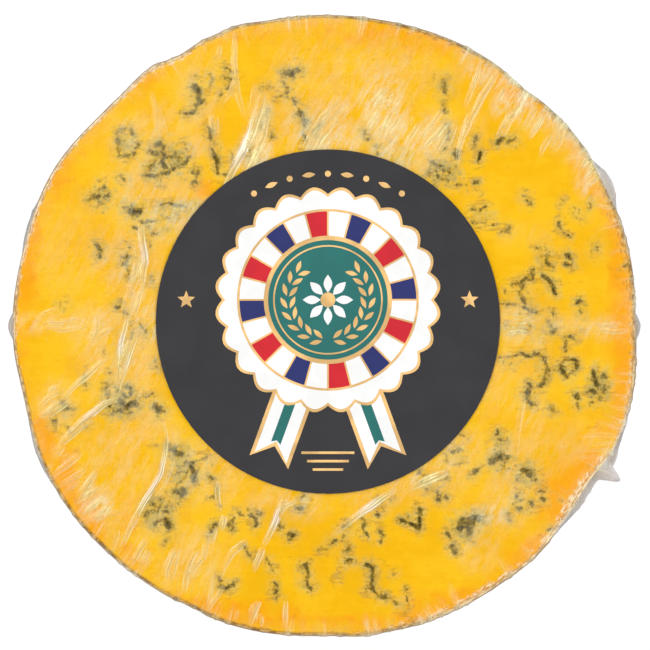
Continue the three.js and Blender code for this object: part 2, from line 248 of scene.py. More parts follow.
# Where those crumbs and the cut edge of the rind are pale: angle, half its spread in degrees
PALE_CRUMBS = [(-42, 46), (148, 62)]

# Grey-green down over the veins: middle and half sizes in pixels, strength
MOULD_BLOOMS = [
    (127, 144, 10, 13, 1.2), (166, 160, 23, 18, 1.1), (101, 197, 13, 13, 0.9), (134, 213, 13, 9, 0.7),
    (168, 212, 15, 11, 0.7), (150, 234, 9, 12, 0.5), (128, 266, 9, 14, 0.5), (196, 95, 9, 18, 0.5),
    (210, 80, 7, 10, 0.5), (228, 79, 7, 13, 0.5), (286, 86, 9, 14, 0.3), (393, 158, 22, 13, 0.3),
    (304, 128, 6, 20, 0.45), (266, 120, 7, 14, 0.5), (216, 155, 7, 16, 0.35), (117, 405, 18, 15, 1.1),
    (64, 408, 12, 9, 0.55), (145, 335, 12, 12, 0.35), (135, 400, 16, 7, 0.4), (182, 468, 16, 27, 0.85),
    (174, 449, 12, 6, 0.5), (180, 494, 10, 8, 0.5), (159, 512, 17, 17, 0.9), (211, 529, 6, 8, 0.4),
    (232, 524, 6, 9, 0.35), (255, 519, 7, 10, 0.35), (299, 508, 8, 6, 0.45), (306, 577, 8, 15, 0.45),
    (226, 586, 12, 7, 0.45), (364, 527, 7, 11, 0.45), (345, 534, 11, 12, 0.35), (371, 578, 8, 18, 0.4),
    (405, 602, 9, 9, 0.35), (413, 519, 10, 9, 0.7), (454, 546, 8, 12, 0.55), (468, 526, 15, 14, 1.1),
    (440, 496, 8, 7, 0.35), (527, 474, 15, 11, 1.1), (519, 502, 10, 13, 0.7), (541, 494, 9, 7, 0.35),
    (436, 484, 16, 8, 0.3), (501, 455, 12, 20, 0.8), (443, 174, 18, 15, 0.95), (449, 137, 6, 14, 0.4),
    (445, 86, 8, 12, 0.6), (456, 158, 7, 7, 0.35), (483, 218, 16, 10, 0.4), (525, 198, 9, 9, 0.35),
    (505, 140, 13, 6, 0.4), (545, 257, 12, 16, 0.45), (522, 292, 13, 18, 0.45), (568, 259, 6, 10, 0.45),
    (551, 284, 9, 12, 0.3), (528, 312, 16, 8, 0.4), (520, 328, 22, 8, 0.4), (553, 324, 9, 12, 0.4),
    (580, 310, 7, 13, 0.35), (596, 250, 7, 8, 0.5), (581, 214, 11, 7, 0.35), (530, 394, 9, 14, 0.5),
    (543, 368, 8, 18, 0.45), (568, 368, 12, 12, 0.8), (576, 402, 6, 11, 0.4), (600, 386, 13, 18, 1.0),
    (507, 362, 10, 7, 0.35), (552, 408, 7, 7, 0.35), (365, 136, 8, 10, 0.55), (377, 151, 7, 8, 0.45),
    (318, 130, 7, 11, 0.5), (64, 306, 10, 6, 0.3), (100, 250, 8, 10, 0.35), (455, 456, 14, 11, 0.3),
    (196, 178, 7, 9, 0.5), (122, 350, 9, 26, 0.15), (155, 227, 24, 11, 0.45), (193, 209, 12, 9, 0.5),
    (254, 162, 8, 14, 0.3), (449, 178, 16, 11, 0.3), (540, 337, 15, 13, 0.2),
]


def from_photo(x, y):
    """A place on the cut face, in metres, for a pixel of the photograph."""
    return (x - PHOTO_MIDDLE[0]) * PHOTO_PIXEL, (PHOTO_MIDDLE[1] - y) * PHOTO_PIXEL


def smooth_between(value, low, high):
    """0 below low, 1 above high and a smooth rise between."""
    share = np.clip((value - low) / (high - low), 0, 1)
    return share * share * (3 - 2 * share)


def turn_from(angle, middle):
    """The signed turn in degrees from the middle to each angle."""
    return (angle - middle + 180) % 360 - 180


def bump(offset, spread):
    """1 at the middle of a bump and 0 from its spread outwards."""
    return (1 + np.cos(np.pi * np.clip(np.abs(offset) / spread, 0, 1))) / 2


def tent(offset, spread):
    """1 at the ridge of a fold, falling straight to 0 at its spread."""
    return np.clip(1 - np.abs(offset) / spread, 0, 1)


def grain(points, size, seed):
    """Smooth noise from -1 to 1 at each point, with features of about this size."""
    at = points / size
    cell = np.floor(at).astype(np.int64)
    blend = (at - cell) ** 2 * (3 - 2 * (at - cell))
    total = np.zeros(len(points))
    for corner in np.ndindex(2, 2, 2):
        mixed = ((cell + corner) * (73856093, 19349663, 83492791)).sum(axis=1) + seed * 2654435761
        mixed = (mixed ^ (mixed >> 15)) * 2246822519 & 0xFFFFFFFF
        mixed = (mixed ^ (mixed >> 13)) * 3266489917 & 0xFFFFFFFF
        height = (mixed ^ (mixed >> 16)) / 0x7FFFFFFF - 1
        total += height * np.prod(np.where(corner, blend, 1 - blend), axis=1)
    return total


def follow_path(x, y, places, reach):
    """Which x, y lie within reach of a path, and how far across and along it each of them is."""
    (low_x, low_y), (high_x, high_y) = np.min(places, axis=0) - reach, np.max(places, axis=0) + reach
    close = np.flatnonzero((x > low_x) & (x < high_x) & (y > low_y) & (y < high_y))
    x, y, run = x[close], y[close], 0.0
    across, along = np.full(len(close), np.inf), np.zeros(len(close))
    for (ax, ay), (bx, by) in zip(places, places[1:]):
        length = math.hypot(bx - ax, by - ay)
        ahead = ((x - ax) * (bx - ax) + (y - ay) * (by - ay)) / length
        aside = ((x - ax) * (by - ay) - (y - ay) * (bx - ax)) / length
        away = np.hypot(ahead - np.clip(ahead, 0, length), aside)
        nearer = away < np.abs(across)
        across = np.where(nearer, np.copysign(away, aside), across)
        along = np.where(nearer, run + ahead, along)
        run += length
    return close, across, along


def ovals(x, y, areas):
    """Each area's strength, and how far the points lie from its middle in half sizes."""
    for px, py, half_x, half_y, strength in areas:
        middle_x, middle_y = from_photo(px, py)
        across, along = (x - middle_x) / (half_x * PHOTO_PIXEL), (y - middle_y) / (half_y * PHOTO_PIXEL)
        yield strength, np.hypot(across, along)


def outline_lobes(angle, radius):
    """How far the wheel's uneven outline stands out of a circle at an angle in degrees."""
    lobes = sum(height * np.cos(np.radians(waves * (angle - crest)))
                for waves, height, crest in OUTLINE_LOBES)
    dents = sum(height * bump(turn_from(angle, middle), spread) for middle, spread, height in OUTLINE_DENTS)
    return (lobes + dents + OUTLINE_GROWTH) * smooth_between(radius, LOBES_START, WHEEL_RADIUS)


def cut_edge(angle):
    """How far the crumbly edge between paste and rind wanders inwards, at an angle in degrees."""
    round_edge = np.column_stack((np.cos(np.radians(angle)), np.sin(np.radians(angle)), np.zeros(len(angle))))
    return 0.00016 * grain(round_edge, 0.09, 12) + 0.00012 * grain(round_edge, 0.03, 13) - 0.00028


def pale_edge(angle):
    """1 where the cut edge is pale and 0 where it is brown, at an angle in degrees."""
    return np.maximum(*(bump(turn_from(angle, middle), spread) ** 0.5 for middle, spread in PALE_CRUMBS))


def turn_body(name, section, steps):
    """A closed body, turned from a section of (radius, height) places that starts and ends on the axis."""
    bpy.ops.object.select_all(action="DESELECT")
    bpy.ops.mesh.primitive_plane_add(size=0.001)
    body = bpy.context.object
    body.name = body.data.name = name
    bpy.ops.object.mode_set(mode="EDIT")
    bpy.ops.mesh.select_all(action="SELECT")
    bpy.ops.mesh.merge(type="CENTER")
    bpy.ops.transform.translate(value=(section[0][0], 0, section[0][1]))
    for (r, z), (next_r, next_z) in zip(section, section[1:]):
        bpy.ops.mesh.extrude_vertices_move(TRANSFORM_OT_translate={"value": (next_r - r, 0, next_z - z)})
    bpy.ops.object.mode_set(mode="OBJECT")
    turned = body.modifiers.new("turned", "SCREW")
    turned.steps = turned.render_steps = steps
    turned.use_merge_vertices, turned.merge_threshold = True, 1e-6
    bpy.ops.object.modifier_apply(modifier=turned.name)
    bpy.ops.object.mode_set(mode="EDIT")
    bpy.ops.mesh.select_all(action="SELECT")
    bpy.ops.mesh.remove_doubles(threshold=1e-6)
    bpy.ops.mesh.normals_make_consistent(inside=False)
    bpy.ops.object.mode_set(mode="OBJECT")
    bpy.ops.object.shade_smooth()
    return body


def read_points(piece):
    """The places of the piece's vertices, one row each, their radius and their angle in degrees."""
    flat = np.empty(len(piece.data.vertices) * 3, np.float32)
    piece.data.vertices.foreach_get("co", flat)
    points = flat.reshape(-1, 3).astype(float)
    return points, np.hypot(points[:, 0], points[:, 1]), np.degrees(np.arctan2(points[:, 1], points[:, 0]))


def move_out(points, radius, lift):
    """Moves the points away from the axis by their lift."""
    points[:, :2] *= (1 + lift / np.maximum(radius, 1e-6))[:, None]


def write_points(piece, points):
    """Moves the piece's vertices to these places."""
    piece.data.vertices.foreach_set("co", points.astype(np.float32).ravel())
    piece.data.update()


def add_mask(piece, name, values):
    """Keeps a number for each vertex, for the material to read."""
    mask = piece.data.attributes.new(name, "FLOAT", "POINT")
    mask.data.foreach_set("value", values.astype(np.float32))


def add_node(tree, kind, inputs=(), **settings):
    """A node with these settings, whose inputs are set to values or linked from sockets."""
    new = tree.nodes.new(kind)
    for name, value in settings.items():
        setattr(new, name, value)
    for name, value in dict(inputs).items():
        if isinstance(value, bpy.types.NodeSocket):
            tree.links.new(value, new.inputs[name])
        else:
            new.inputs[name].default_value = value
    return new


def start_material(name):
    """A material with a Principled shader, as (material, its tree, the shader)."""
    material = bpy.data.materials.new(name)
    material.use_nodes = True
    return material, material.node_tree, material.node_tree.nodes["Principled BSDF"]


def sums(tree, operation, *values, clamp=False):
    """One step of arithmetic on sockets or numbers."""
    step = add_node(tree, "ShaderNodeMath", enumerate(values), operation=operation, use_clamp=clamp)
    return step.outputs[0]


def times(tree, first, second, clamp=False):
    """The product of two sockets or numbers."""
    return sums(tree, "MULTIPLY", first, second, clamp=clamp)


def scaled(tree, value, factor, base, clamp=False):
    """The value times a factor, added to a base."""
    return sums(tree, "MULTIPLY_ADD", value, factor, base, clamp=clamp)


def swung(tree, noise, reach, base):
    """The base, pushed up and down as the noise swings round its middle."""
    return scaled(tree, sums(tree, "SUBTRACT", noise, 0.5), reach, base)


def vectors(tree, operation, *values):
    """One step of vector arithmetic on sockets or triples."""
    step = add_node(tree, "ShaderNodeVectorMath", enumerate(values), operation=operation)
    return step.outputs["Value" if operation == "LENGTH" else "Vector"]


def object_place(tree):
    """The place on the piece, in metres."""
    return add_node(tree, "ShaderNodeTexCoord").outputs["Object"]


def read_masks(tree, *names):
    """The numbers kept on the mesh under these names."""
    return [add_node(tree, "ShaderNodeAttribute", attribute_name=name).outputs["Fac"] for name in names]


def set_sockets(shader, values):
    """Sets the shader's own sockets to these values."""
    for name, value in values.items():
        shader.inputs[name].default_value = value


def ramp(tree, value, low, high):
    """A smooth rise from 0 to 1 as the value goes from low to high."""
    steps = add_node(tree, "ShaderNodeMapRange", {"Value": value, "From Min": low, "From Max": high},
                     interpolation_type="SMOOTHSTEP")
    return steps.outputs["Result"]


def blend_colours(tree, share, first, second):
    """The first colour where share is 0 and the second where it is 1."""
    mix = add_node(tree, "ShaderNodeMix", data_type="RGBA")
    for socket, value in zip((mix.inputs[0], mix.inputs[6], mix.inputs[7]), (share, first, second)):
        if isinstance(value, bpy.types.NodeSocket):
            tree.links.new(value, socket)
        else:
            socket.default_value = value
    return mix.outputs[2]


def texture_noise(tree, place, size, detail=2.0, roughness=0.5):
    """Noise with features of about this size in metres, as a value."""
    made = add_node(tree, "ShaderNodeTexNoise",
                    {"Vector": place, "Scale": 1 / size, "Detail": detail, "Roughness": roughness})
    return made.outputs["Fac"]


def new_group(name, inputs, outputs):
    """An empty node group with these sockets, as (group, the sockets of its inputs, its output node)."""
    group = bpy.data.node_groups.new(name, "ShaderNodeTree")
    for way, sockets in (("INPUT", inputs), ("OUTPUT", outputs)):
        for label, kind in sockets.items():
            group.interface.new_socket(label, in_out=way, socket_type="NodeSocket" + kind)
    return group, group.nodes.new("NodeGroupInput").outputs, group.nodes.new("NodeGroupOutput")


mottling, given, made = new_group(
    "mottling", {"Place": "Vector", "Scale": "Float", "Detail": "Float", "Low": "Float", "High": "Float",
                 "First": "Color", "Second": "Color"}, {"Colour": "Color", "Share": "Float"})
cloudy = add_node(mottling, "ShaderNodeTexNoise",
                  {"Vector": given["Place"], "Scale": given["Scale"], "Detail": given["Detail"],
                   "Roughness": 0.55})
cloud_share = ramp(mottling, cloudy.outputs["Fac"], given["Low"], given["High"])
mottling.links.new(blend_colours(mottling, cloud_share, given["First"], given["Second"]),
                   made.inputs["Colour"])
mottling.links.new(cloud_share, made.inputs["Share"])


def mottled_colour(tree, place, size, first, second, low=0.40, high=0.60, detail=2.0):
    """Two colours in soft patches of about this size, from the mottling group."""
    return add_node(tree, "ShaderNodeGroup", {"Place": place, "Scale": 1 / size, "Detail": detail, "Low": low,
                                              "High": high, "First": first, "Second": second},
                    node_tree=mottling).outputs["Colour"]


fine_relief, given, made = new_group(
    "fine_relief", {"Place": "Vector", "Scale": "Float", "Raised": "Float", "Strength": "Float",
                    "Distance": "Float"}, {"Normal": "Vector"})
tooth = add_node(fine_relief, "ShaderNodeTexNoise",
                 {"Vector": given["Place"], "Scale": given["Scale"], "Detail": 3.0, "Roughness": 0.6})
relief = add_node(fine_relief, "ShaderNodeBump",
                  {"Height": sums(fine_relief, "ADD", tooth.outputs["Fac"], given["Raised"]),
                   "Strength": given["Strength"], "Distance": given["Distance"]})
fine_relief.links.new(relief.outputs["Normal"], made.inputs["Normal"])


def roughen(tree, shader, place, size, strength, distance, raised=0.0):
    """Gives the shader the fine relief group's bumps, of about this size."""
    bumps = add_node(tree, "ShaderNodeGroup",
                     {"Place": place, "Scale": 1 / size, "Raised": raised, "Strength": strength,
                      "Distance": distance}, node_tree=fine_relief)
    tree.links.new(bumps.outputs["Normal"], shader.inputs["Normal"])


paste_section = [(0, PASTE_TOP), (INNER_RING, PASTE_TOP)]
ring_count = round((PASTE_RADIUS - HIDDEN_RADIUS) / PASTE_RING_WIDTH)
for ring in range(ring_count + 1):
    paste_section.append((HIDDEN_RADIUS + (PASTE_RADIUS - HIDDEN_RADIUS) * ring / ring_count, PASTE_TOP))
paste_section += [(PASTE_RADIUS - drawn_in, height) for drawn_in, height in PASTE_SIDE[1:]]
paste_section.append((0, PASTE_BASE))
paste = turn_body("paste", paste_section, PASTE_STEPS)

points, radius, angle = read_points(paste)
lift = outline_lobes(angle, radius) + cut_edge(angle) * smooth_between(radius, EDGE_START, PASTE_RADIUS)
move_out(points, radius, lift)
on_face = points[:, 2] > PASTE_TOP - 0.0005
face = points[on_face]
coarse, fine = grain(face, 0.0045, 1), grain(face, 0.0014, 2)
x, y = face[:, 0] + 0.0005 * grain(face, 0.003, 3), face[:, 1] + 0.0005 * grain(face, 0.003, 4)
mould, down, torn = np.zeros(len(face)), np.zeros(len(face)), np.zeros(len(face))
for strength, half_width, *places in MOULD_VEINS:
    width = VEIN_SPREAD * half_width * PHOTO_PIXEL
    halo, tear = HALO_SPREAD * width, TEAR_SPREAD * PHOTO_PIXEL
    close, across, along = follow_path(x, y, [from_photo(*place) for place in places], 2.2 * tear)
    across = across * (1 + 0.35 * fine[close])
    torn[close] = np.maximum(torn[close], strength * np.exp(-((across / tear) ** 2)))
    mould[close] = np.maximum(mould[close], strength * np.exp(-((across / width) ** 2)))
    down[close] = np.maximum(down[close], strength * np.exp(-((across / halo) ** 2)))
for strength, away in ovals(x, y, MOULD_BLOOMS):
    down = np.maximum(down, (0.25 + 0.75 * strength) * smooth_between(1.5 - away + 0.5 * fine, 0, 1.1))
face_angle, face_radius = angle[on_face], radius[on_face]
crust = np.zeros(len(face))
for middle, spread, width, strength in RIM_CRUMBS:
    inset = (PASTE_RADIUS - face_radius) / (width * PHOTO_PIXEL)
    around_rim = bump(turn_from(face_angle, middle), spread) ** 0.5
    crust = np.maximum(crust, strength * around_rim * np.exp(-(inset ** 2)))
pale = pale_edge(face_angle)
orange = np.zeros(len(face))
for strength, away in ovals(x, y, DEEPER_ORANGE):
    orange = np.maximum(orange, strength * np.exp(-(away ** 2)))
open_vein = smooth_between(mould + 0.3 * fine, 0.75, 1.0)
face[:, 2] += 0.00010 * coarse + 0.00006 * fine - VEIN_DEPTH * open_vein - DOWN_DEPTH * down
points[on_face] = face
write_points(paste, points)
for name, values in (("mould", mould), ("down", down), ("torn", torn), ("orange", orange), ("crust", crust),
                     ("pale_crumbs", pale)):
    mask = np.zeros(len(points))
    mask[on_face] = values
    add_mask(paste, name, mask)

paste_material, tree, shader = start_material("orange_paste")
place = object_place(tree)
mould_mask, down_mask, torn_mask, orange_mask, crust_mask, pale_mask = read_masks(
    tree, "mould", "down", "torn", "orange", "crust", "pale_crumbs")
drift = texture_noise(tree, place, 0.016, 3.0, 0.55)
mottled = texture_noise(tree, place, 0.006, 3.0, 0.6)
clumped = texture_noise(tree, place, 0.0026, 2.0)
speckle = texture_noise(tree, place, 0.0009, 1.5, 0.55)
ragged = texture_noise(tree, place, 0.0015, 3.0, 0.6)
wire_place = vectors(tree, "MULTIPLY", place, (70, 900, 70))
wire_marks = texture_noise(tree, wire_place, 1.0, 1.0)
flat_place = vectors(tree, "MULTIPLY", place, (1, 1, 0))
rim_distance = vectors(tree, "LENGTH", flat_place)

# The yellow is paler in broad patches and a deeper orange towards the rind
lightness = swung(tree, mottled, 0.55, drift)
lightness = swung(tree, wire_marks, 0.22, lightness)
yellow = blend_colours(tree, ramp(tree, lightness, 0.40, 0.66), (0.860, 0.468, 0.0010, 1),
                       (0.884, 0.518, 0.0080, 1))
dull = ramp(tree, scaled(tree, torn_mask, 0.20, sums(tree, "SUBTRACT", 1.0, lightness)), 0.52, 0.74)
yellow = blend_colours(tree, times(tree, dull, 0.42), yellow, (0.79, 0.425, 0.0040, 1))
towards_rind = ramp(tree, swung(tree, mottled, 0.010, rim_distance), 0.0920, 0.0992)
warmth = scaled(tree, towards_rind, 0.46, orange_mask)
warmth = swung(tree, mottled, 1.6, warmth)
paste_colour = blend_colours(tree, ramp(tree, warmth, 0.10, 1.15), yellow, (0.875, 0.378, 0.0012, 1))

# The wire tore the paste in short wavy lines wherever mould had loosened it
tear_place = vectors(tree, "MULTIPLY", place, (130, 480, 130))
tear_noise = texture_noise(tree, tear_place, 1.0, 2.0, 0.5)
tear_line = ramp(tree, sums(tree, "ABSOLUTE", sums(tree, "SUBTRACT", tear_noise, 0.5)), 0.085, 0.0)
tear_share = times(tree, tear_line, ramp(tree, scaled(tree, mottled, 1.6, torn_mask), 0.96, 1.32))
paste_colour = blend_colours(tree, times(tree, tear_share, 0.58), paste_colour, (0.43, 0.205, 0.010, 1))

# Crumbs of dry paste and rind along the cut's edge
inwards = add_node(tree, "ShaderNodeCombineXYZ", {2: times(tree, rim_distance, 1 / 0.0009)}).outputs[0]
crumb_place = vectors(tree, "MULTIPLY_ADD", vectors(tree, "NORMALIZE", flat_place),
                      (WHEEL_RADIUS / 0.0022,) * 3, inwards)
crumbling = swung(tree, texture_noise(tree, crumb_place, 1.0, 3.0, 0.6), 1.7, crust_mask)
crumbling = swung(tree, clumped, 0.9, crumbling)
pale_crumbs = mottled_colour(tree, crumb_place, 0.8, (0.62, 0.285, 0.060, 1),
                             (0.94, 0.74, 0.50, 1), 0.36, 0.56)
brown_crumbs = mottled_colour(tree, crumb_place, 0.8, (0.50, 0.22, 0.022, 1),
                              (0.87, 0.47, 0.085, 1), 0.40, 0.60)
crumb_colour = blend_colours(tree, pale_mask, brown_crumbs, pale_crumbs)
paste_colour = blend_colours(tree, times(tree, ramp(tree, crumbling, 0.32, 0.78), 0.9),
                             paste_colour, crumb_colour)

# Mould: soft grey-green down, separate dark and straw-coloured grains in it, and a nearly black core
clumping = sums(tree, "SUBTRACT", clumped, 0.5)
tufts = ramp(tree, scaled(tree, clumping, 0.5, ragged), 0.34, 0.64)
halo = times(tree, down_mask, scaled(tree, tufts, 0.70, 0.62), clamp=True)
density = scaled(tree, down_mask, 0.30, texture_noise(tree, place, 0.0042))
down_colour = blend_colours(tree, ramp(tree, density, 0.54, 0.84), (0.67, 0.500, 0.145, 1),
                            (0.45, 0.358, 0.112, 1))
straw_grains = times(tree, ramp(tree, speckle, 0.44, 0.34),
                     scaled(tree, ramp(tree, mould_mask, 0.02, 0.25), 0.45, 0.30))
down_colour = blend_colours(tree, straw_grains, down_colour, (0.80, 0.56, 0.10, 1))
jostled = add_node(tree, "ShaderNodeTexNoise",
                   {"Vector": place, "Scale": 700, "Detail": 1.0}).outputs["Color"]
scattered = vectors(tree, "MULTIPLY_ADD", jostled, (0.0010, 0.0010, 0.0010), place)
grains = add_node(tree, "ShaderNodeTexVoronoi", {"Vector": scattered, "Scale": 1 / 0.0012})
chosen = add_node(tree, "ShaderNodeSeparateColor", {0: grains.outputs["Color"]}).outputs[0]
chosen = scaled(tree, clumping, 0.9, scaled(tree, mould_mask, 0.45, chosen))
dark_grains = times(tree, ramp(tree, grains.outputs["Distance"], 0.56, 0.24), ramp(tree, chosen, 0.44, 0.62))
down_colour = blend_colours(tree, times(tree, dark_grains, 0.66), down_colour, (0.19, 0.125, 0.018, 1))
paste_colour = blend_colours(tree, times(tree, halo, 0.86), paste_colour, down_colour)
pitting = scaled(tree, clumping, 0.8, scaled(tree, speckle, 0.5, times(tree, ragged, 0.5)))
pitted = ramp(tree, pitting, 0.36, 0.62)
core_edge = scaled(tree, ragged, 1.2, scaled(tree, speckle, 1.0, mould_mask))
core_edge = scaled(tree, clumping, 0.9, core_edge)
core = times(tree, ramp(tree, core_edge, 1.22, 1.84), scaled(tree, mould_mask, 0.55, 0.42))
core = times(tree, core, scaled(tree, pitted, 0.45, 0.62), clamp=True)
core = times(tree, core, ramp(tree, mould_mask, 0.04, 0.22))
mould_colour = mottled_colour(tree, place, 0.0014, (0.165, 0.100, 0.005, 1),
                              (0.060, 0.040, 0.004, 1), 0.40, 0.58)
paste_colour = blend_colours(tree, core, paste_colour, mould_colour)
tree.links.new(paste_colour, shader.inputs["Base Color"])
set_sockets(shader, {"Roughness": 0.5, "Specular IOR Level": 0.04, "Subsurface Weight": 0.06,
                     "Subsurface Radius": (1.0, 0.5, 0.2), "Subsurface Scale": 0.002})
roughen(tree, shader, place, 0.0006, 0.25, 0.0002, speckle)
paste.data.materials.append(paste_material)
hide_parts("cheese_in_film")
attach(paste, "root")

# The rind is the wheel's own dried skin, and only a thin line of it shows at the cut. It
# is rough and orange brown, dusted with pale and grey-green mould, and pierced all round
# with the needle holes that let air into the veins.
RIND_RADIUS = WHEEL_RADIUS - SIDE_GAP
BASE_EDGE_RADIUS = 0.009
CUT_EDGE_RADIUS = 0.0003
FOOT_SHRINK = 0.0008
WAIST = 0.0009
RIND_STEPS = 640
RIND_ROWS = 62
RIND_BASE = 0.0004
POCKET_GAP = 0.00005
POCKET_FLOOR = PASTE_BASE - 0.0003
RIND_SWELLINGS = [(7, 1.5, 0.00035, 12), (11, -2.5, 0.0003, 40), (17, 4, 0.00025, 5), (26, -5.5, 0.0002, 8)]
NEEDLE_ROWS = (0.030, 0.055, 0.081)
NEEDLE_COUNT = 21
NEEDLE_RADIUS = 0.0012
NEEDLE_DEPTH = 0.0010
NEEDLE_WANDER = 0.003


def side_swell(angle, z):
    """The waist and the low swellings of the wheel's side, at an angle in degrees."""
    up = z / SEAT_HEIGHT
    ends = smooth_between(up, 0.03, 0.12) * smooth_between(1 - up, 0.02, 0.08)
    relief = -WAIST * np.sin(np.pi * np.clip(up, 0, 1))
    for around, along, height, crest in RIND_SWELLINGS:
        relief = relief + ends * height * np.cos(np.radians(around * (angle - crest)) + math.tau * along * up)
    return relief


def arc(middle_r, middle_z, size, start, end, count):
    """Places along an arc of the section, from one angle in degrees to another."""
    turns = [math.radians(start + (end - start) * i / count) for i in range(count + 1)]
    return [(middle_r + size * math.cos(t), middle_z + size * math.sin(t)) for t in turns]


rind_top = PASTE_TOP + 0.0001
rind_section = [(0, RIND_BASE)] + arc(RIND_RADIUS - BASE_EDGE_RADIUS, BASE_EDGE_RADIUS + RIND_BASE,
                                      BASE_EDGE_RADIUS, -90, 0, 8)
side_low, side_high = BASE_EDGE_RADIUS + RIND_BASE, rind_top - CUT_EDGE_RADIUS
for row in range(1, RIND_ROWS):
    rind_section.append((RIND_RADIUS, side_low + (side_high - side_low) * row / RIND_ROWS))
rind_section += arc(RIND_RADIUS - CUT_EDGE_RADIUS, side_high, CUT_EDGE_RADIUS, 0, 90, 4)
pocket = [(PASTE_RADIUS + POCKET_GAP - drawn_in, height) for drawn_in, height in PASTE_SIDE]
pocket[0], pocket[-1] = (pocket[0][0], rind_top), (pocket[-1][0], POCKET_FLOOR)
rind_section += pocket + [(0, POCKET_FLOOR)]
rind = turn_body("rind", rind_section, RIND_STEPS)

points, radius, angle = read_points(rind)
pocket_radius = np.interp(points[:, 2], [height for _, height in pocket[::-1]], [r for r, _ in pocket[::-1]])
outside = (radius > pocket_radius + 0.00003) | (points[:, 2] < PASTE_BASE - 0.0004)
lift = outline_lobes(angle, radius)
lift += np.where(outside, 0, cut_edge(angle) * smooth_between(radius, EDGE_START, PASTE_RADIUS))
skin = points[outside]
skin_angle, skin_z = angle[outside], skin[:, 2]
on_side = smooth_between(skin_z, 0.002, 0.012) * (1 - smooth_between(skin_z, rind_top - 0.002, rind_top))
rough = 0.00016 * grain(skin, 0.009, 5) + 0.00012 * grain(skin, 0.0035, 6) + 0.00006 * grain(skin, 0.0016, 7)
needle = np.zeros(len(skin))
needle_draw = random.Random(11)
for row_height in NEEDLE_ROWS:
    first = needle_draw.uniform(0, 360 / NEEDLE_COUNT)
    for hole in range(NEEDLE_COUNT):
        at = first + 360 * hole / NEEDLE_COUNT + needle_draw.uniform(-2.5, 2.5)
        height = row_height + needle_draw.uniform(-NEEDLE_WANDER, NEEDLE_WANDER)
        across = np.radians(turn_from(skin_angle, at)) * WHEEL_RADIUS
        away = np.hypot(across, skin_z - height)
        needle = np.maximum(needle, np.exp(-((away / NEEDLE_RADIUS) ** 2)))
moved = side_swell(skin_angle, skin_z) * smooth_between(radius[outside], 0.09, RIND_RADIUS)
foot = 1 - smooth_between(skin_z, 0.006, 0.024)
lift[outside] += moved + on_side * (rough - 0.0003 - NEEDLE_DEPTH * needle) - FOOT_SHRINK * foot
move_out(points, radius, lift)
write_points(rind, points)
needle_hole_shade = np.zeros(len(points))
needle_hole_shade[outside] = needle
add_mask(rind, "needle", needle_hole_shade)
add_mask(rind, "pale_edge", pale_edge(angle))

rind_material, tree, shader = start_material("mould_ripened_rind")
place = object_place(tree)
needle_hole_shade_value, pale_share = read_masks(tree, "needle", "pale_edge")
patches = texture_noise(tree, place, 0.022, 6.0, 0.66)
pores = texture_noise(tree, place, 0.0015, 3.0, 0.65)
dust = texture_noise(tree, place, 0.004, 5.0, 0.75)
bloom = texture_noise(tree, place, 0.045, 6.0, 0.70)
skin_colour = blend_colours(tree, ramp(tree, patches, 0.36, 0.66), (0.33, 0.135, 0.028, 1),
                            (0.60, 0.28, 0.055, 1))
skin_colour = blend_colours(tree, times(tree, ramp(tree, pores, 0.48, 0.64), 0.65), skin_colour,
                            (0.20, 0.085, 0.022, 1))
pale = ramp(tree, swung(tree, dust, 1.3, bloom), 0.46, 0.70)
skin_colour = blend_colours(tree, times(tree, pale, 0.72), skin_colour, (0.62, 0.53, 0.36, 1))
green = ramp(tree, swung(tree, dust, -1.0, patches), 0.60, 0.74)
skin_colour = blend_colours(tree, times(tree, green, 0.65), skin_colour, (0.17, 0.17, 0.115, 1))
# Painted shade: the needle holes darkened nearly to black, as the shade inside them
skin_colour = blend_colours(tree, times(tree, needle_hole_shade_value, 0.9), skin_colour, (0.045, 0.035, 0.022, 1))
height = add_node(tree, "ShaderNodeSeparateXYZ", {0: place}).outputs["Z"]
at_cut = ramp(tree, height, PASTE_TOP - 0.0008, PASTE_TOP - 0.0001)
cut_colour = mottled_colour(tree, place, 0.0022, (0.24, 0.125, 0.022, 1), (0.60, 0.37, 0.095, 1), 0.40, 0.58)
pale_cut = mottled_colour(tree, place, 0.0022, (0.60, 0.40, 0.16, 1), (0.92, 0.74, 0.44, 1), 0.38, 0.56)
cut_colour = blend_colours(tree, times(tree, pale_share, 0.9), cut_colour, pale_cut)
skin_colour = blend_colours(tree, times(tree, at_cut, 0.9), skin_colour, cut_colour)
tree.links.new(skin_colour, shader.inputs["Base Color"])
set_sockets(shader, {"Roughness": 0.75})
roughen(tree, shader, place, 0.0022, 0.5, 0.0006, dust)
rind.data.materials.append(rind_material)
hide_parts("cheese_in_film")
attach(rind, "root")

# The film is one sheet of clear wrap, pulled tight over the cut face and down the side,
# with its seam across the middle. It creases where it was pulled, pleats over the cut
# edge, and stands off in small loose folds where there was too much of it.
FILM_STEPS = 900
FILM_TOP_RINGS = 66
FILM_SIDE_ROWS = 32
FILM_EDGE_RADIUS = 0.0007
SEAM_ANGLES = (0, 180)
SEAM_REACH = 0.0018
SEAM_SPREAD = 3.6
FOLD_START = 0.0008
FOLD_FULL = 0.0045
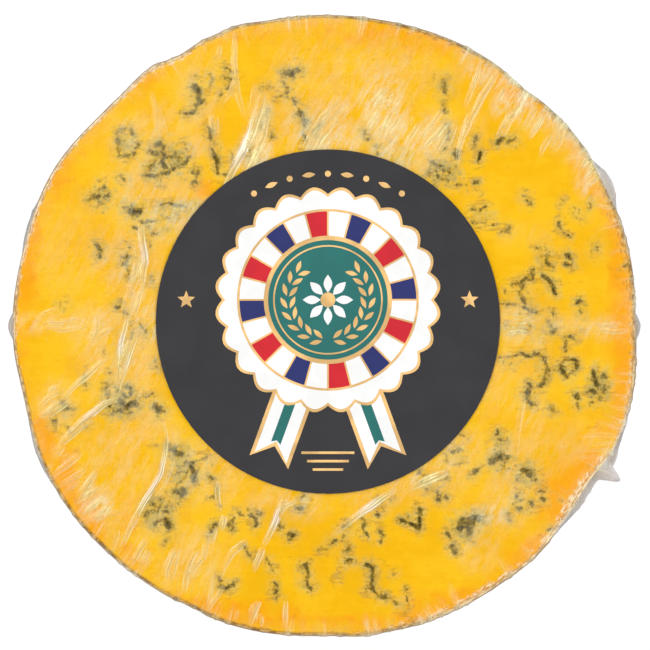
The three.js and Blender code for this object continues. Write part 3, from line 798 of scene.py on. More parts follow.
# Each loose fold: angle, half its spread in degrees, reach, depth it runs down, lean in degrees
LOOSE_FOLDS = [
    (-28.1, 1.8, 0.0054, 0.026, 2.5), (-26.5, 4.6, 0.0016, 0.036, 5), (-33.0, 13.5, 0.0023, 0.052, 7),
    (-22.0, 8, 0.0010, 0.040, 4), (27.7, 7.0, 0.0029, 0.036, -7), (161, 9, 0.0012, 0.036, 7),
    (205, 11, 0.0011, 0.046, -6),
]
FOOT_PLEATS = [(31, 0.00045, 3), (43, 0.0003, 6)]
PLEAT_REACH = 0.026
CREASE_HEIGHT = 0.0006
SLACK_HEIGHT = 0.00012
PLEAT_COUNT = 170
PLEAT_HEIGHT = 0.00042
PLEAT_RISE = 0.00028
WRINKLE_COUNT = 120
WRINKLE_HEIGHT = 0.00065

# Creases of the film on the cut face: strength, half width in pixels, places in pixels
CREASES = [
    (0.6, 3.4, (266, 94), (260, 112), (254, 130), (248, 146)),
    (0.92, 3.0, (262, 92), (257, 112), (252, 130), (243, 150), (226, 188), (213, 214)),
    (0.6, 2.4, (274, 103), (268, 118), (264, 135), (256, 152), (243, 184), (232, 208)),
    (0.6, 2.6, (235, 32), (235, 50), (234, 62), (236, 80), (238, 95), (242, 108), (246, 120)),
    (0.5, 2.0, (238, 75), (230, 95), (222, 105)), (0.5, 2.0, (220, 45), (219, 60)),
    (0.7, 2.2, (211, 113), (212, 125), (212, 138)), (0.5, 2.0, (216, 115), (217, 136)),
    (0.45, 2.2, (153, 92), (156, 112), (158, 138)), (0.4, 2.0, (160, 104), (163, 122), (168, 140)),
    (0.3, 2.0, (256, 84), (252, 100), (249, 118)),
    (0.55, 2.2, (338, 101), (321, 117), (308, 139), (300, 158)),
    (0.5, 2.6, (351, 107), (336, 121), (323, 135), (309, 159)),
    (0.4, 2.2, (345, 100), (335, 112), (320, 128)), (0.5, 2.2, (395, 88), (387, 97), (378, 104)),
    (0.5, 2.2, (398, 92), (390, 104), (381, 112)), (0.5, 2.0, (388, 87), (376, 99), (370, 108)),
    (0.6, 2.4, (392, 112), (383, 124), (374, 136)), (0.5, 2.2, (398, 118), (390, 130), (384, 138)),
    (0.5, 2.2, (380, 108), (372, 120), (366, 130)), (0.6, 2.4, (420, 122), (412, 136), (404, 150)),
    (0.7, 2.6, (442, 110), (430, 126), (420, 141)), (0.7, 2.6, (449, 120), (437, 134), (424, 148)),
    (0.45, 2.2, (447, 131), (440, 143), (433, 157)), (0.5, 2.0, (456, 122), (452, 136), (447, 150)),
    (0.6, 2.2, (480, 62), (476, 75), (470, 92), (463, 110)),
    (0.75, 3.0, (498, 72), (490, 84), (481, 97), (475, 112), (468, 128), (460, 142)),
    (0.8, 2.4, (471, 112), (464, 130), (459, 148), (457, 166)),
    (0.8, 2.4, (521, 104), (510, 115), (502, 127), (496, 139)),
    (0.6, 2.2, (515, 113), (507, 124), (501, 138)), (0.5, 3.0, (506, 86), (498, 101)),
    (0.4, 2.6, (515, 88), (507, 99)), (0.5, 2.4, (535, 108), (525, 125), (520, 132)),
    (0.7, 2.8, (541, 116), (533, 130), (526, 141)), (0.5, 2.4, (556, 124), (552, 140), (546, 150)),
    (0.6, 2.4, (561, 128), (556, 144), (549, 156)), (0.5, 2.2, (548, 135), (540, 150), (537, 160)),
    (0.4, 2.2, (576, 143), (570, 156)), (0.6, 2.2, (595, 160), (588, 172), (579, 182)),
    (0.6, 2.2, (600, 170), (592, 182), (582, 189)), (0.5, 2.0, (585, 160), (578, 172)),
    (0.6, 2.0, (612, 206), (602, 208), (592, 205)),
    (0.9, 3.4, (141, 224), (142, 245), (145, 262), (143, 280), (140, 292)),
    (0.6, 2.2, (136, 246), (137, 262), (133, 280), (130, 300), (128, 318)),
    (0.6, 2.2, (141, 290), (137, 304), (133, 318)), (0.5, 2.0, (131, 284), (125, 305), (122, 320)),
    (0.9, 2.3, (127, 316), (123, 335), (119, 360), (117, 386)),
    (0.85, 2.1, (136, 334), (130, 352), (124, 372), (119, 386), (115, 399)),
    (0.7, 2.4, (130, 338), (126, 352), (121, 368)), (0.5, 2.2, (114, 328), (100, 335), (90, 346)),
    (0.6, 2.6, (98, 318), (96, 330), (88, 348)),
    (0.72, 2.4, (108, 358), (98, 366), (88, 374), (76, 383), (68, 392), (61, 402)),
    (0.7, 2.4, (61, 402), (48, 411), (37, 417)), (0.7, 2.4, (70, 401), (58, 410), (46, 419)),
    (0.5, 2.2, (58, 392), (46, 400), (36, 410)), (0.5, 2.0, (55, 385), (44, 395)),
    (0.9, 2.8, (118, 399), (106, 402), (95, 412), (83, 422), (70, 435), (60, 446)),
    (0.7, 2.4, (95, 419), (80, 430), (68, 441), (57, 451)), (0.6, 2.2, (66, 447), (58, 456)),
    (0.56, 3.2, (84, 451), (70, 463), (56, 474)), (0.42, 3.0, (89, 467), (75, 477), (59, 486)),
    (0.35, 2.0, (74, 452), (62, 462)), (0.74, 3.0, (100, 470), (90, 482), (80, 495)),
    (0.35, 2.0, (88, 484), (76, 495)), (0.75, 2.4, (101, 485), (89, 493), (77, 502)),
    (0.7, 2.2, (106, 493), (94, 505), (85, 513)), (0.5, 2.2, (121, 509), (108, 514), (96, 521)),
    (0.7, 2.2, (112, 503), (101, 513), (92, 520)), (0.5, 1.8, (82, 478), (68, 490)),
    (0.9, 2.3, (165, 422), (167, 440), (165, 458), (161, 472), (153, 488), (143, 504), (133, 522),
     (126, 540), (119, 556)), (0.5, 1.8, (174, 450), (173, 463), (169, 475), (163, 489), (153, 502)),
    (0.7, 2.4, (139, 516), (131, 530), (124, 546)),
    (0.7, 2.4, (149, 536), (142, 546), (137, 556), (132, 565)), (0.5, 2.4, (120, 526), (116, 545)),
    (0.4, 2.4, (150, 549), (143, 562)), (0.6, 2.6, (177, 546), (170, 558), (166, 570), (167, 582)),
    (0.6, 2.4, (180, 548), (174, 565), (171, 580)),
    (0.7, 2.8, (196, 549), (190, 565), (186, 580), (184, 594)),
    (0.7, 2.6, (206, 540), (203, 555), (196, 567), (190, 580)),
    (0.6, 2.4, (207, 530), (206, 545), (203, 560)), (0.8, 3.0, (224, 515), (222, 531)),
    (0.6, 2.2, (216, 527), (211, 545)), (0.6, 2.2, (218, 480), (219, 500), (220, 512)),
    (0.6, 3.2, (248, 540), (233, 551), (225, 566), (218, 582)),
    (0.6, 2.0, (215, 573), (212, 588), (208, 612)), (0.65, 2.0, (225, 585), (216, 598), (207, 612)),
    (0.92, 3.2, (284, 496), (280, 510), (275, 522), (268, 535), (262, 547)),
    (0.8, 2.8, (262, 547), (260, 556), (255, 571)), (0.7, 2.4, (296, 500), (287, 506), (280, 517)),
    (0.6, 2.0, (311, 500), (298, 500)), (0.8, 2.4, (261, 599), (256, 611), (250, 624)),
    (0.6, 2.0, (257, 602), (250, 613)), (0.5, 1.8, (238, 607), (235, 621)),
    (0.6, 1.8, (262, 613), (261, 626)), (0.7, 2.2, (287, 600), (285, 614), (283, 628)),
    (0.9, 3.0, (396, 489), (378, 501), (362, 512), (350, 521), (340, 529), (331, 536)),
    (0.8, 3.4, (446, 472), (434, 478), (421, 484), (411, 489)),
    (0.3, 2.0, (614, 434), (595, 433), (575, 435)), (0.35, 1.6, (614, 441), (600, 441), (585, 443)),
    (0.35, 1.6, (613, 448), (598, 449), (580, 450)), (0.3, 1.6, (606, 455), (590, 457), (574, 458)),
    (0.5, 2.0, (620, 322), (604, 324), (590, 322)), (0.6, 2.2, (628, 330), (612, 331), (596, 328)),
    (0.5, 2.2, (535, 318), (522, 322), (508, 320)), (0.5, 2.0, (532, 333), (518, 331), (505, 334)),
    (0.5, 2.0, (80, 318), (60, 322), (38, 320)), (0.5, 2.0, (86, 328), (66, 330), (44, 327)),
    (0.4, 2.0, (60, 308), (48, 312), (36, 318)), (0.4, 2.4, (523, 395), (519, 415), (517, 440), (518, 455)),
]

# Hazy film that has lifted off the paste: middle and half sizes in pixels, strength
HAZY_PATCHES = [
    (328, 138, 46, 28, 0.56), (200, 98, 18, 42, 0.14), (197, 147, 18, 16, 0.20), (374, 492, 44, 14, 0.17),
    (124, 358, 34, 40, 0.23), (258, 160, 15, 28, 0.66), (148, 322, 34, 26, 0.40), (184, 214, 44, 18, 0.37),
    (250, 158, 22, 12, 0.30), (396, 155, 38, 22, 0.38), (146, 130, 44, 22, 0.18), (205, 474, 50, 34, 0.18),
    (292, 498, 36, 22, 0.28), (507, 495, 26, 40, 0.18), (402, 484, 22, 14, 0.26), (494, 377, 34, 44, 0.10),
    (122, 262, 40, 44, 0.23), (262, 120, 11, 24, 0.34), (142, 432, 30, 28, 0.18), (163, 224, 32, 20, 0.28),
    (440, 462, 40, 34, 0.20), (76, 323, 60, 12, 0.27), (106, 330, 40, 34, 0.26), (70, 250, 45, 55, 0.09),
    (360, 75, 80, 40, 0.16), (380, 110, 24, 40, 0.50), (430, 138, 32, 26, 0.42), (334, 118, 28, 28, 0.34),
    (590, 175, 18, 22, 0.37), (600, 329, 34, 13, 0.28), (520, 325, 26, 17, 0.34), (560, 325, 30, 10, 0.21),
    (572, 447, 52, 24, 0.12), (521, 448, 40, 20, 0.17), (480, 546, 24, 24, 0.18), (494, 513, 24, 11, 0.42),
    (100, 503, 16, 23, 0.52), (58, 404, 18, 24, 0.20), (60, 446, 9, 13, 0.26), (155, 294, 38, 30, 0.19),
    (122, 462, 44, 40, 0.17), (538, 542, 18, 14, 0.10), (532, 425, 12, 34, 0.16), (150, 200, 48, 44, 0.20),
    (525, 236, 26, 11, 0.06), (168, 572, 16, 18, 0.15), (134, 530, 30, 34, 0.13), (145, 556, 10, 12, 0.24),
    (198, 558, 20, 32, 0.22), (230, 560, 16, 26, 0.05), (210, 125, 10, 20, 0.11), (134, 292, 18, 40, 0.30),
    (118, 390, 14, 16, 0.17), (534, 110, 24, 22, 0.33), (470, 122, 16, 22, 0.12), (525, 103, 30, 19, 0.66),
    (490, 76, 26, 14, 0.34), (509, 87, 10, 10, 0.22), (541, 333, 11, 24, 0.15), (560, 140, 18, 18, 0.11),
    (420, 480, 20, 9, 0.41), (170, 445, 14, 22, 0.17), (370, 505, 26, 12, 0.08), (200, 55, 26, 14, 0.06),
    (480, 200, 26, 20, 0.02), (95, 370, 30, 22, 0.07),
]
# The band of hazy film just inside the cut edge, with painted highlight where the film bends over it: angle,
# half its spread in degrees, strength
RIM_HAZE_AND_HIGHLIGHT = [
    (90, 50, 0.14), (45, 34, 0.50), (135, 26, 0.08), (270, 42, 0.08), (318, 18, 0.08), (332, 12, 0.15),
    (2, 10, 0.20), (232, 22, 0.06), (205, 20, 0.10), (348, 12, 0.06),
]
RIM_HAZE_AND_HIGHLIGHT_WIDTH = 0.0045


def loose_film(angle, z):
    """How far the loose folds and the seam stand off the side, at an angle in degrees."""
    depth = SEAT_HEIGHT - z
    start = smooth_between(depth, FOLD_START, FOLD_FULL)
    reach = np.zeros(len(angle))
    for middle, spread, out, run, lean in LOOSE_FOLDS:
        fade = 1 - smooth_between(depth, FOLD_FULL, run)
        reach += out * bump(turn_from(angle, middle + lean * depth / run), spread) * start * fade
    for middle in SEAM_ANGLES:
        seam = SEAM_REACH * bump(turn_from(angle, middle), SEAM_SPREAD)
        reach += seam * start * smooth_between(z, 0.002, 0.010)
    foot = smooth_between(z, 0.001, 0.008) * (1 - smooth_between(z, 0.008, PLEAT_REACH))
    for waves, height, crest in FOOT_PLEATS:
        reach += foot * height * np.cos(np.radians(waves * (angle - crest)))
    return reach


film_section = [(0, SEAT_HEIGHT), (INNER_RING, SEAT_HEIGHT)]
shoulder = WHEEL_RADIUS - FILM_EDGE_RADIUS
for ring in range(FILM_TOP_RINGS):
    film_section.append((HIDDEN_RADIUS + (shoulder - HIDDEN_RADIUS) * ring / FILM_TOP_RINGS, SEAT_HEIGHT))
film_section += arc(shoulder, SEAT_HEIGHT - FILM_EDGE_RADIUS, FILM_EDGE_RADIUS, 90, 0, 4)
film_high = SEAT_HEIGHT - FILM_EDGE_RADIUS
for row in range(1, FILM_SIDE_ROWS):
    film_section.append((WHEEL_RADIUS, film_high + (BASE_EDGE_RADIUS - film_high) * row / FILM_SIDE_ROWS))
film_section += arc(WHEEL_RADIUS - BASE_EDGE_RADIUS, BASE_EDGE_RADIUS, BASE_EDGE_RADIUS, 0, -90, 5)
film_section.append((0, 0))
film = turn_body("film", film_section, FILM_STEPS)

points, radius, angle = read_points(film)
z = points[:, 2]
side_share = smooth_between(radius, 0.090, WHEEL_RADIUS) * smooth_between(z, 0, BASE_EDGE_RADIUS)
lift = outline_lobes(angle, radius) + side_share * (side_swell(angle, z) + loose_film(angle, z))

label_low, label_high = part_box("label")
label_middle = (label_low + label_high) / 2
label_radius = (label_high.x - label_low.x) / 2
off_label = np.hypot(points[:, 0] - label_middle.x, points[:, 1] - label_middle.y) - label_radius
on_top = (z > SEAT_HEIGHT - 1e-5) & (off_label > -0.004)
top = points[on_top]
slack = grain(top, 0.012, 8)
x, y = top[:, 0] + 0.0004 * grain(top, 0.006, 9), top[:, 1] + 0.0004 * grain(top, 0.006, 10)
crease, nearest = np.zeros(len(top)), np.full(len(top), 9.0)
pull = np.zeros((len(points), 3))
top_pull = np.zeros((len(top), 3))
for number, (strength, half_width, *places) in enumerate(CREASES):
    width = half_width * PHOTO_PIXEL
    close, across, along = follow_path(x, y, [from_photo(*place) for place in places], 3 * width + 0.0012)
    length = sum(math.dist(a, b) for a, b in zip(places, places[1:])) * PHOTO_PIXEL
    fade = np.sin(np.pi * np.clip(along / length, 0.0, 1.0) ** 0.8)
    widths = across / (width * (0.45 + 0.55 * fade ** 0.5))
    first = np.abs(widths) < nearest[close]
    nearest[close[first]] = np.abs(widths)[first]
    crease[close[first]] = (strength * fade ** 0.6 * (1 - smooth_between(np.abs(widths), 1.5, 2.6)))[first]
    top_pull[close[first]] = np.column_stack((widths, along, np.full(len(widths), 0.01 * number)))[first]
ridge = tent(nearest, 1.3) * crease
patch = np.zeros(len(top))
for strength, away in ovals(x, y, HAZY_PATCHES):
    patch = np.maximum(patch, strength * smooth_between(1.55 - away + 0.35 * slack, 0, 1.3))
# The rim band: milky film plus painted highlight where the film bends over the cut edge
rim_haze_and_highlight = np.zeros(len(points))
for middle, spread, strength in RIM_HAZE_AND_HIGHLIGHT:
    band = strength * bump(turn_from(angle, middle), spread)
    rim_haze_and_highlight = np.maximum(rim_haze_and_highlight, band * np.exp(-(((WHEEL_RADIUS - radius) / RIM_HAZE_AND_HIGHLIGHT_WIDTH) ** 2)))
free = smooth_between(off_label[on_top], 0.0002, 0.0025)
free *= 1 - smooth_between(radius[on_top], shoulder - 0.003, shoulder)
points[on_top, 2] += free * (CREASE_HEIGHT * ridge + SLACK_HEIGHT * (1 + slack) / 2)
crease_mask, patch_mask, pleat_mask = np.zeros(len(points)), rim_haze_and_highlight, np.zeros(len(points))
crease_mask[on_top], pull[on_top] = crease, top_pull
patch_mask[on_top] = np.maximum(patch_mask[on_top], patch)

pleat_draw = random.Random(23)
past_edge = np.where(z > SEAT_HEIGHT - 1e-5, radius - WHEEL_RADIUS, SEAT_HEIGHT - z)
near_edge = (past_edge > -0.014) & (past_edge < 0.03)
edge_angle, edge_past = angle[near_edge], past_edge[near_edge]
pleats = np.zeros(near_edge.sum())
for _ in range(PLEAT_COUNT):
    at = pleat_draw.uniform(0, 360)
    spread = pleat_draw.uniform(0.45, 1.1)
    inwards = pleat_draw.uniform(0.003, 0.011)
    downwards = pleat_draw.uniform(0.004, 0.026)
    height = pleat_draw.uniform(0.3, 1.0)
    lean = pleat_draw.uniform(-60, 60)
    window = smooth_between(edge_past, -inwards, 0)
    window *= 1 - smooth_between(edge_past, 0.25 * downwards, downwards)
    calm = 1 - bump(turn_from(at, 172), 80)
    fold = tent(turn_from(edge_angle, at + lean * edge_past), spread)
    pleats = np.maximum(pleats, height * calm * window * fold)
edge_z = z[near_edge] > SEAT_HEIGHT - 1e-5
lift[near_edge] += np.where(edge_z, 0, PLEAT_HEIGHT * pleats)
rise = np.zeros(len(points))
rise[near_edge] = np.where(edge_z, PLEAT_RISE * pleats, 0)
points[:, 2] += rise
# The pleats over the cut edge carry painted highlight ticks in the film's material
pleat_mask[near_edge] = np.maximum(pleat_mask[near_edge], 0.8 * pleats)

wrinkle_draw = random.Random(31)
on_wall = (z < SEAT_HEIGHT - 0.003) & (z > 0.004) & (radius > 0.09)
wall_around, wall_z = np.radians(angle[on_wall]) * WHEEL_RADIUS, z[on_wall]
girth = math.tau * WHEEL_RADIUS
wrinkles = np.zeros(on_wall.sum())
for _ in range(WRINKLE_COUNT):
    at, foot = wrinkle_draw.uniform(0, girth), wrinkle_draw.uniform(0.004, 0.095)
    length, slant = wrinkle_draw.uniform(0.012, 0.050), wrinkle_draw.gauss(0, 0.35)
    width, height = wrinkle_draw.uniform(0.0012, 0.0028), wrinkle_draw.uniform(0.25, 1.0)
    around = (wall_around - at - slant * (wall_z - foot) + girth / 2) % girth - girth / 2
    window = bump(wall_z - foot - length / 2, length / 2)
    wrinkles = np.maximum(wrinkles, height * window * tent(around, width))
lift[on_wall] += WRINKLE_HEIGHT * wrinkles
# The wrinkles down the side carry painted highlight streaks in the film's material
pleat_mask[on_wall] = np.maximum(pleat_mask[on_wall] * smooth_between(wall_z, 0.094, 0.116), 1.5 * wrinkles)
# A faint milky veil down the side, partly painted sheen standing in for the film's reflections
wall_haze_and_sheen = np.clip(grain(points[on_wall] * (1, 1, 0.4), 0.014, 15) + 0.15, 0, 1)
wall_haze_and_sheen = 0.26 * wall_haze_and_sheen * smooth_between(SEAT_HEIGHT - wall_z, 0.003, 0.012)
patch_mask[on_wall] = np.maximum(patch_mask[on_wall], wall_haze_and_sheen)
standing = loose_film(angle, z) * side_share
loose = smooth_between(standing, 0.0005, 0.0024)
move_out(points, radius, lift)
write_points(film, points)
for name, values in (("crease", crease_mask), ("patch", patch_mask), ("pleat", pleat_mask), ("loose", loose)):
    add_mask(film, name, values)
pull_frame = film.data.attributes.new("pull", "FLOAT_VECTOR", "POINT")
pull_frame.data.foreach_set("vector", pull.astype(np.float32).ravel())

film_material, tree, shader = start_material("clear_wrap")
tree.nodes.remove(shader)
place = object_place(tree)
crease_value, patch_value, pleat_value, loose_value = read_masks(tree, "crease", "patch", "pleat", "loose")
pulled = add_node(tree, "ShaderNodeAttribute", attribute_name="pull").outputs["Vector"]


def stretched(tree, place, across, along, shift=0.0):
    """Places in which a feature is this far across and this far along."""
    return vectors(tree, "MULTIPLY_ADD", place, (1 / across, 1 / along, 100), (0, 0, shift))


def hairlines(tree, place, half_width):
    """Thin broken lines where smooth noise crosses its middle, as a mask."""
    off = sums(tree, "ABSOLUTE", sums(tree, "SUBTRACT", texture_noise(tree, place, 1.0, 2.0), 0.5))
    return sums(tree, "SUBTRACT", 1.0, ramp(tree, off, 0.0, half_width))


slanted = add_node(tree, "ShaderNodeMapping",
                   {"Vector": place, "Rotation": (0, 0, math.radians(28))}).outputs[0]
patch_place = stretched(tree, slanted, 0.0013, 0.0065)
outward = vectors(tree, "MULTIPLY", place, (1, 1, 0))
far_out = vectors(tree, "LENGTH", outward)
height = add_node(tree, "ShaderNodeSeparateXYZ", {0: place}).outputs["Z"]
down_side = times(tree, sums(tree, "SUBTRACT", far_out, height), 60.0)
rising = add_node(tree, "ShaderNodeCombineXYZ", {2: down_side}).outputs[0]
ring_place = vectors(tree, "MULTIPLY_ADD", vectors(tree, "NORMALIZE", outward),
                     (WHEEL_RADIUS / 0.0014,) * 3, rising)


def stroke(tree, offset, half_width):
    """1 where the offset is 0, fading softly to 0 beyond the half width."""
    share = sums(tree, "DIVIDE", offset, half_width)
    return sums(tree, "EXPONENT", times(tree, times(tree, share, share), -1.0))


# A crease is milky folded film with painted highlights along a few edges side by side, and a painted shadow
# between them
aside = add_node(tree, "ShaderNodeSeparateXYZ", {0: pulled}).outputs["X"]
wander = texture_noise(tree, stretched(tree, pulled, 3.0, 0.012), 1.0, 2.0)
wandering = swung(tree, wander, 1.5, aside)
crease_highlight_lines = None
for number, (offset, half_width) in enumerate(((-0.85, 0.30), (0.85, 0.28), (-0.05, 0.18))):
    gaps = texture_noise(tree, stretched(tree, pulled, 60.0, 0.009, 7.3 * number + 3.1), 1.0, 1.0)
    there = ramp(tree, gaps, 0.26 + 0.08 * number, 0.50 + 0.10 * number)
    line = times(tree, stroke(tree, sums(tree, "SUBTRACT", wandering, offset), half_width), there)
    crease_highlight_lines = sums(tree, "MAXIMUM", crease_highlight_lines, line) if crease_highlight_lines else line
crease_body = stroke(tree, aside, 1.1)
crease_shadow = times(tree, stroke(tree, sums(tree, "ADD", wandering, 0.42), 0.27), crease_value)
patch_hair = hairlines(tree, patch_place, 0.05)
pleat_highlight_lines = hairlines(tree, ring_place, 0.06)
broken = ramp(tree, texture_noise(tree, place, 0.004, 3.0, 0.6), 0.34, 0.62)
clouded = texture_noise(tree, place, 0.0055, 4.0, 0.6)
streaks = texture_noise(tree, stretched(tree, slanted, 0.0011, 0.0042), 1.0, 3.0, 0.6)
crease_fill = times(tree, crease_body, scaled(tree, sums(tree, "POWER", crease_value, 1.7), 0.50, 0.10))
# Painted highlights: the crease's edges drawn in pale frost, standing in for the lamps' reflections off the
# folded film
painted_crease_highlights = times(tree, crease_highlight_lines, scaled(tree, crease_value, 0.36, 0.46))
crease_frost_and_painted_light = sums(tree, "ADD", painted_crease_highlights, crease_fill)
crease_frost_and_painted_light = scaled(tree, crease_shadow, 0.32, times(tree, crease_frost_and_painted_light, crease_value))
banks = ramp(tree, texture_noise(tree, stretched(tree, slanted, 0.0034, 0.0140), 1.0, 2.0), 0.36, 0.62)
patch_texture = swung(tree, streaks, 2.1, scaled(tree, banks, 0.55, scaled(tree, clouded, 0.8, -0.18)))
patch_texture = scaled(tree, times(tree, patch_hair, broken), 0.14, patch_texture)
# On the rim band and down the side this veil is partly painted highlight and sheen
patch_haze_and_sheen = times(tree, patch_value, sums(tree, "MAXIMUM", times(tree, patch_texture, 1.15), 0.0))
# Pleats and wrinkles: milky folded film with painted highlight lines along them
pleat_frost_and_highlight = times(tree, pleat_value, scaled(tree, pleat_highlight_lines, 0.58, 0.15))
loose_veil = times(tree, loose_value, scaled(tree, clouded, 0.50, 0.30))
veil_and_painted_light_share = sums(tree, "ADD", sums(tree, "ADD", crease_frost_and_painted_light, patch_haze_and_sheen), pleat_frost_and_highlight, clamp=True)
veil_and_painted_light_share = sums(tree, "MAXIMUM", veil_and_painted_light_share, loose_veil)
folds = sums(tree, "ADD", times(tree, times(tree, crease_value, crease_highlight_lines), 0.55),
             sums(tree, "ADD", times(tree, times(tree, patch_value, patch_hair), 0.15),
                  times(tree, pleat_value, pleat_highlight_lines)))
slack_noise = texture_noise(tree, place, 0.006, 2.0)
crinkled = add_node(tree, "ShaderNodeBump",
                    {"Height": scaled(tree, slack_noise, 0.5, folds), "Strength": 0.38,
                     "Distance": 0.0003}).outputs[0]
backside = add_node(tree, "ShaderNodeNewGeometry").outputs["Backfacing"]
optical = scaled(tree, backside, 1 / 1.5 - 1.5, 1.5)
mirrored = add_node(tree, "ShaderNodeFresnel", {"IOR": optical, "Normal": crinkled}).outputs[0]
clear = add_node(tree, "ShaderNodeBsdfTransparent")
gloss = add_node(tree, "ShaderNodeBsdfGlossy", {"Color": (1, 1, 1, 1), "Roughness": 0.20, "Normal": crinkled})
# Strong creases turn paler and creamier, the colour of their painted highlights over the milky fold
crease_frost_and_highlight_colour = blend_colours(tree, ramp(tree, crease_value, 0.76, 0.96), (0.97, 0.83, 0.38, 1),
                      (0.98, 0.90, 0.74, 1))
frost_and_painted_light_colour = blend_colours(tree, times(tree, crease_value, 1.6, clamp=True), (0.94, 0.92, 0.60, 1), crease_frost_and_highlight_colour)
# Painted shadow down the middle of each crease
frost_and_painted_light_colour = blend_colours(tree, times(tree, crease_shadow, 0.85), frost_and_painted_light_colour, (0.36, 0.265, 0.08, 1))
on_side = ramp(tree, height, SEAT_HEIGHT - 0.0010, SEAT_HEIGHT - 0.0040)
frost_and_painted_light_colour = blend_colours(tree, on_side, frost_and_painted_light_colour, (0.84, 0.83, 0.77, 1))
frost_and_painted_light_colour = blend_colours(tree, loose_value, frost_and_painted_light_colour, (0.90, 0.865, 0.86, 1))
# The frosted film carries the milky haze and, in its colour and share, the painted highlights and shadows of
# creases, pleats, rim and side
frost_and_painted_light = add_node(tree, "ShaderNodeBsdfDiffuse", {"Color": frost_and_painted_light_colour})
shiny = add_node(tree, "ShaderNodeMixShader",
                 {0: scaled(tree, mirrored, 1.5, -0.040, clamp=True), 1: clear.outputs[0],
                  2: gloss.outputs[0]})
hazed = add_node(tree, "ShaderNodeMixShader", {0: veil_and_painted_light_share, 1: shiny.outputs[0], 2: frost_and_painted_light.outputs[0]})
tree.links.new(hazed.outputs[0], tree.nodes["Material Output"].inputs["Surface"])
film.data.materials.append(film_material)
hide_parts("cheese_in_film")
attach(film, "root")

# The label is a disc of matt charcoal paper, printed before it was cut out and stuck
# flat on the film, so its face is even and its edge is clean.
label_material, tree, shader = start_material("charcoal_paper")
place = object_place(tree)
charcoal = mottled_colour(tree, place, 0.012, (0.038, 0.037, 0.040, 1), (0.046, 0.045, 0.048, 1), 0.15, 0.85)
tree.links.new(charcoal, shader.inputs["Base Color"])
set_sockets(shader, {"Roughness": 0.62, "Specular IOR Level": 0.1})
roughen(tree, shader, place, 0.0004, 0.15, 0.00005)
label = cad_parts["label"]
label.data.materials.clear()
label.data.materials.append(label_material)

# The print is a rosette in five flat inks: a scalloped white ring, a ring of coloured
# wedges, a teal middle with a wreath and a daisy, two tails, and gold trim.
INK = 0.00002
INK_BITE = 0.00005
ROSETTE_Y = 0.007
SCALLOPS = 24
WEDGES = 24
SCALLOP_HEIGHT = 0.0024
TAIL_START = 0.028
# Each layer of a tail: ink, layer, half width, end
TAILS = [("gold", 0, 0.0066, 0.0555), ("white", 1, 0.0054, 0.0539), ("teal", 2, 0.0016, 0.0490)]
STAR_SIZES = (0.0030, 0.0013)
inks = {"gold": [], "white": [], "teal": [], "navy": [], "red": []}


def polar(sizes, turns, middle=(0, ROSETTE_Y)):
    """Places at these distances from a middle, each at its own angle."""
    return [(middle[0] + size * math.cos(t), middle[1] + size * math.sin(t)) for size, t in zip(sizes, turns)]


def around(size, start=0, end=360, count=48, middle=(0, ROSETTE_Y)):
    """Places along an arc about a middle, from one angle in degrees to another."""
    turns = [math.radians(start + (end - start) * i / count) for i in range(count + (end - start < 360))]
    return polar([size] * len(turns), turns, middle)


def turned(outline, heading, middle=(0, ROSETTE_Y)):
    """The outline, turned to a heading in degrees and moved to a middle."""
    c, s = math.cos(math.radians(heading)), math.sin(math.radians(heading))
    return [(middle[0] + along * c - aside * s, middle[1] + along * s + aside * c)
            for along, aside in outline]


def petal(middle, length, width, heading):
    """The outline of a leaf or petal that points along a heading in degrees."""
    half = [(length * (i / 6 - 0.5), width / 2 * math.sin(math.pi * i / 6)) for i in range(7)]
    return turned(half + [(along, -aside) for along, aside in half[-2:0:-1]], heading, middle)


def print_shape(ink, layer, places, hole=None):
    """A flat shape in one ink, bitten a little into the paper, with an inset hole if one is asked for."""
    bpy.ops.object.select_all(action="DESELECT")
    bpy.ops.mesh.primitive_circle_add(vertices=len(places), radius=0.01, fill_type="NGON")
    shape = bpy.context.object
    for vertex, (x, y) in zip(shape.data.vertices, places):
        vertex.co = (label_middle.x + x, label_middle.y + y, label_high.z - INK_BITE)
    bpy.ops.object.mode_set(mode="EDIT")
    bpy.ops.mesh.select_all(action="SELECT")
    if hole:
        bpy.ops.mesh.inset(thickness=hole)
        bpy.ops.mesh.delete(type="FACE")
        bpy.ops.mesh.select_all(action="SELECT")
    bpy.ops.mesh.extrude_region_move(TRANSFORM_OT_translate={"value": (0, 0, INK_BITE + INK * (layer + 1))})
    bpy.ops.mesh.select_all(action="SELECT")
    bpy.ops.mesh.normals_make_consistent(inside=False)
    bpy.ops.object.mode_set(mode="OBJECT")
    inks[ink].append(shape)


for side in (-1, 1):
    for ink, layer, half, end in TAILS:
        notch = end - (0.6 * half if ink == "teal" else 0.0055)
        tail = [(TAIL_START, -half), (end, -half), (notch, 0), (end, half), (TAIL_START, half)]
        print_shape(ink, layer, turned(tail, -90 + 20 * side))
scallop_turns = [math.tau * i / (SCALLOPS * 8) for i in range(SCALLOPS * 8)]
for ink, layer, size in (("gold", 3, 0.0340), ("white", 4, 0.0330)):
    reaches = [size + SCALLOP_HEIGHT * abs(math.sin(SCALLOPS * t / 2)) for t in scallop_turns]
    print_shape(ink, layer, polar(reaches, scallop_turns))
print_shape("gold", 5, around(0.0292, count=72))
for wedge in range(WEDGES):
    start = 360 * wedge / WEDGES
    ink = ("navy", "white", "red", "white")[wedge % 4]
    outer, inner = around(0.0284, start + 0.6, start + 14.4, 6), around(0.0206, start + 14.2, start + 0.8, 6)
    print_shape(ink, 6, outer + inner)
print_shape("teal", 6, around(0.0192, count=72))
print_shape("gold", 7, around(0.0176, count=72), hole=0.0005)
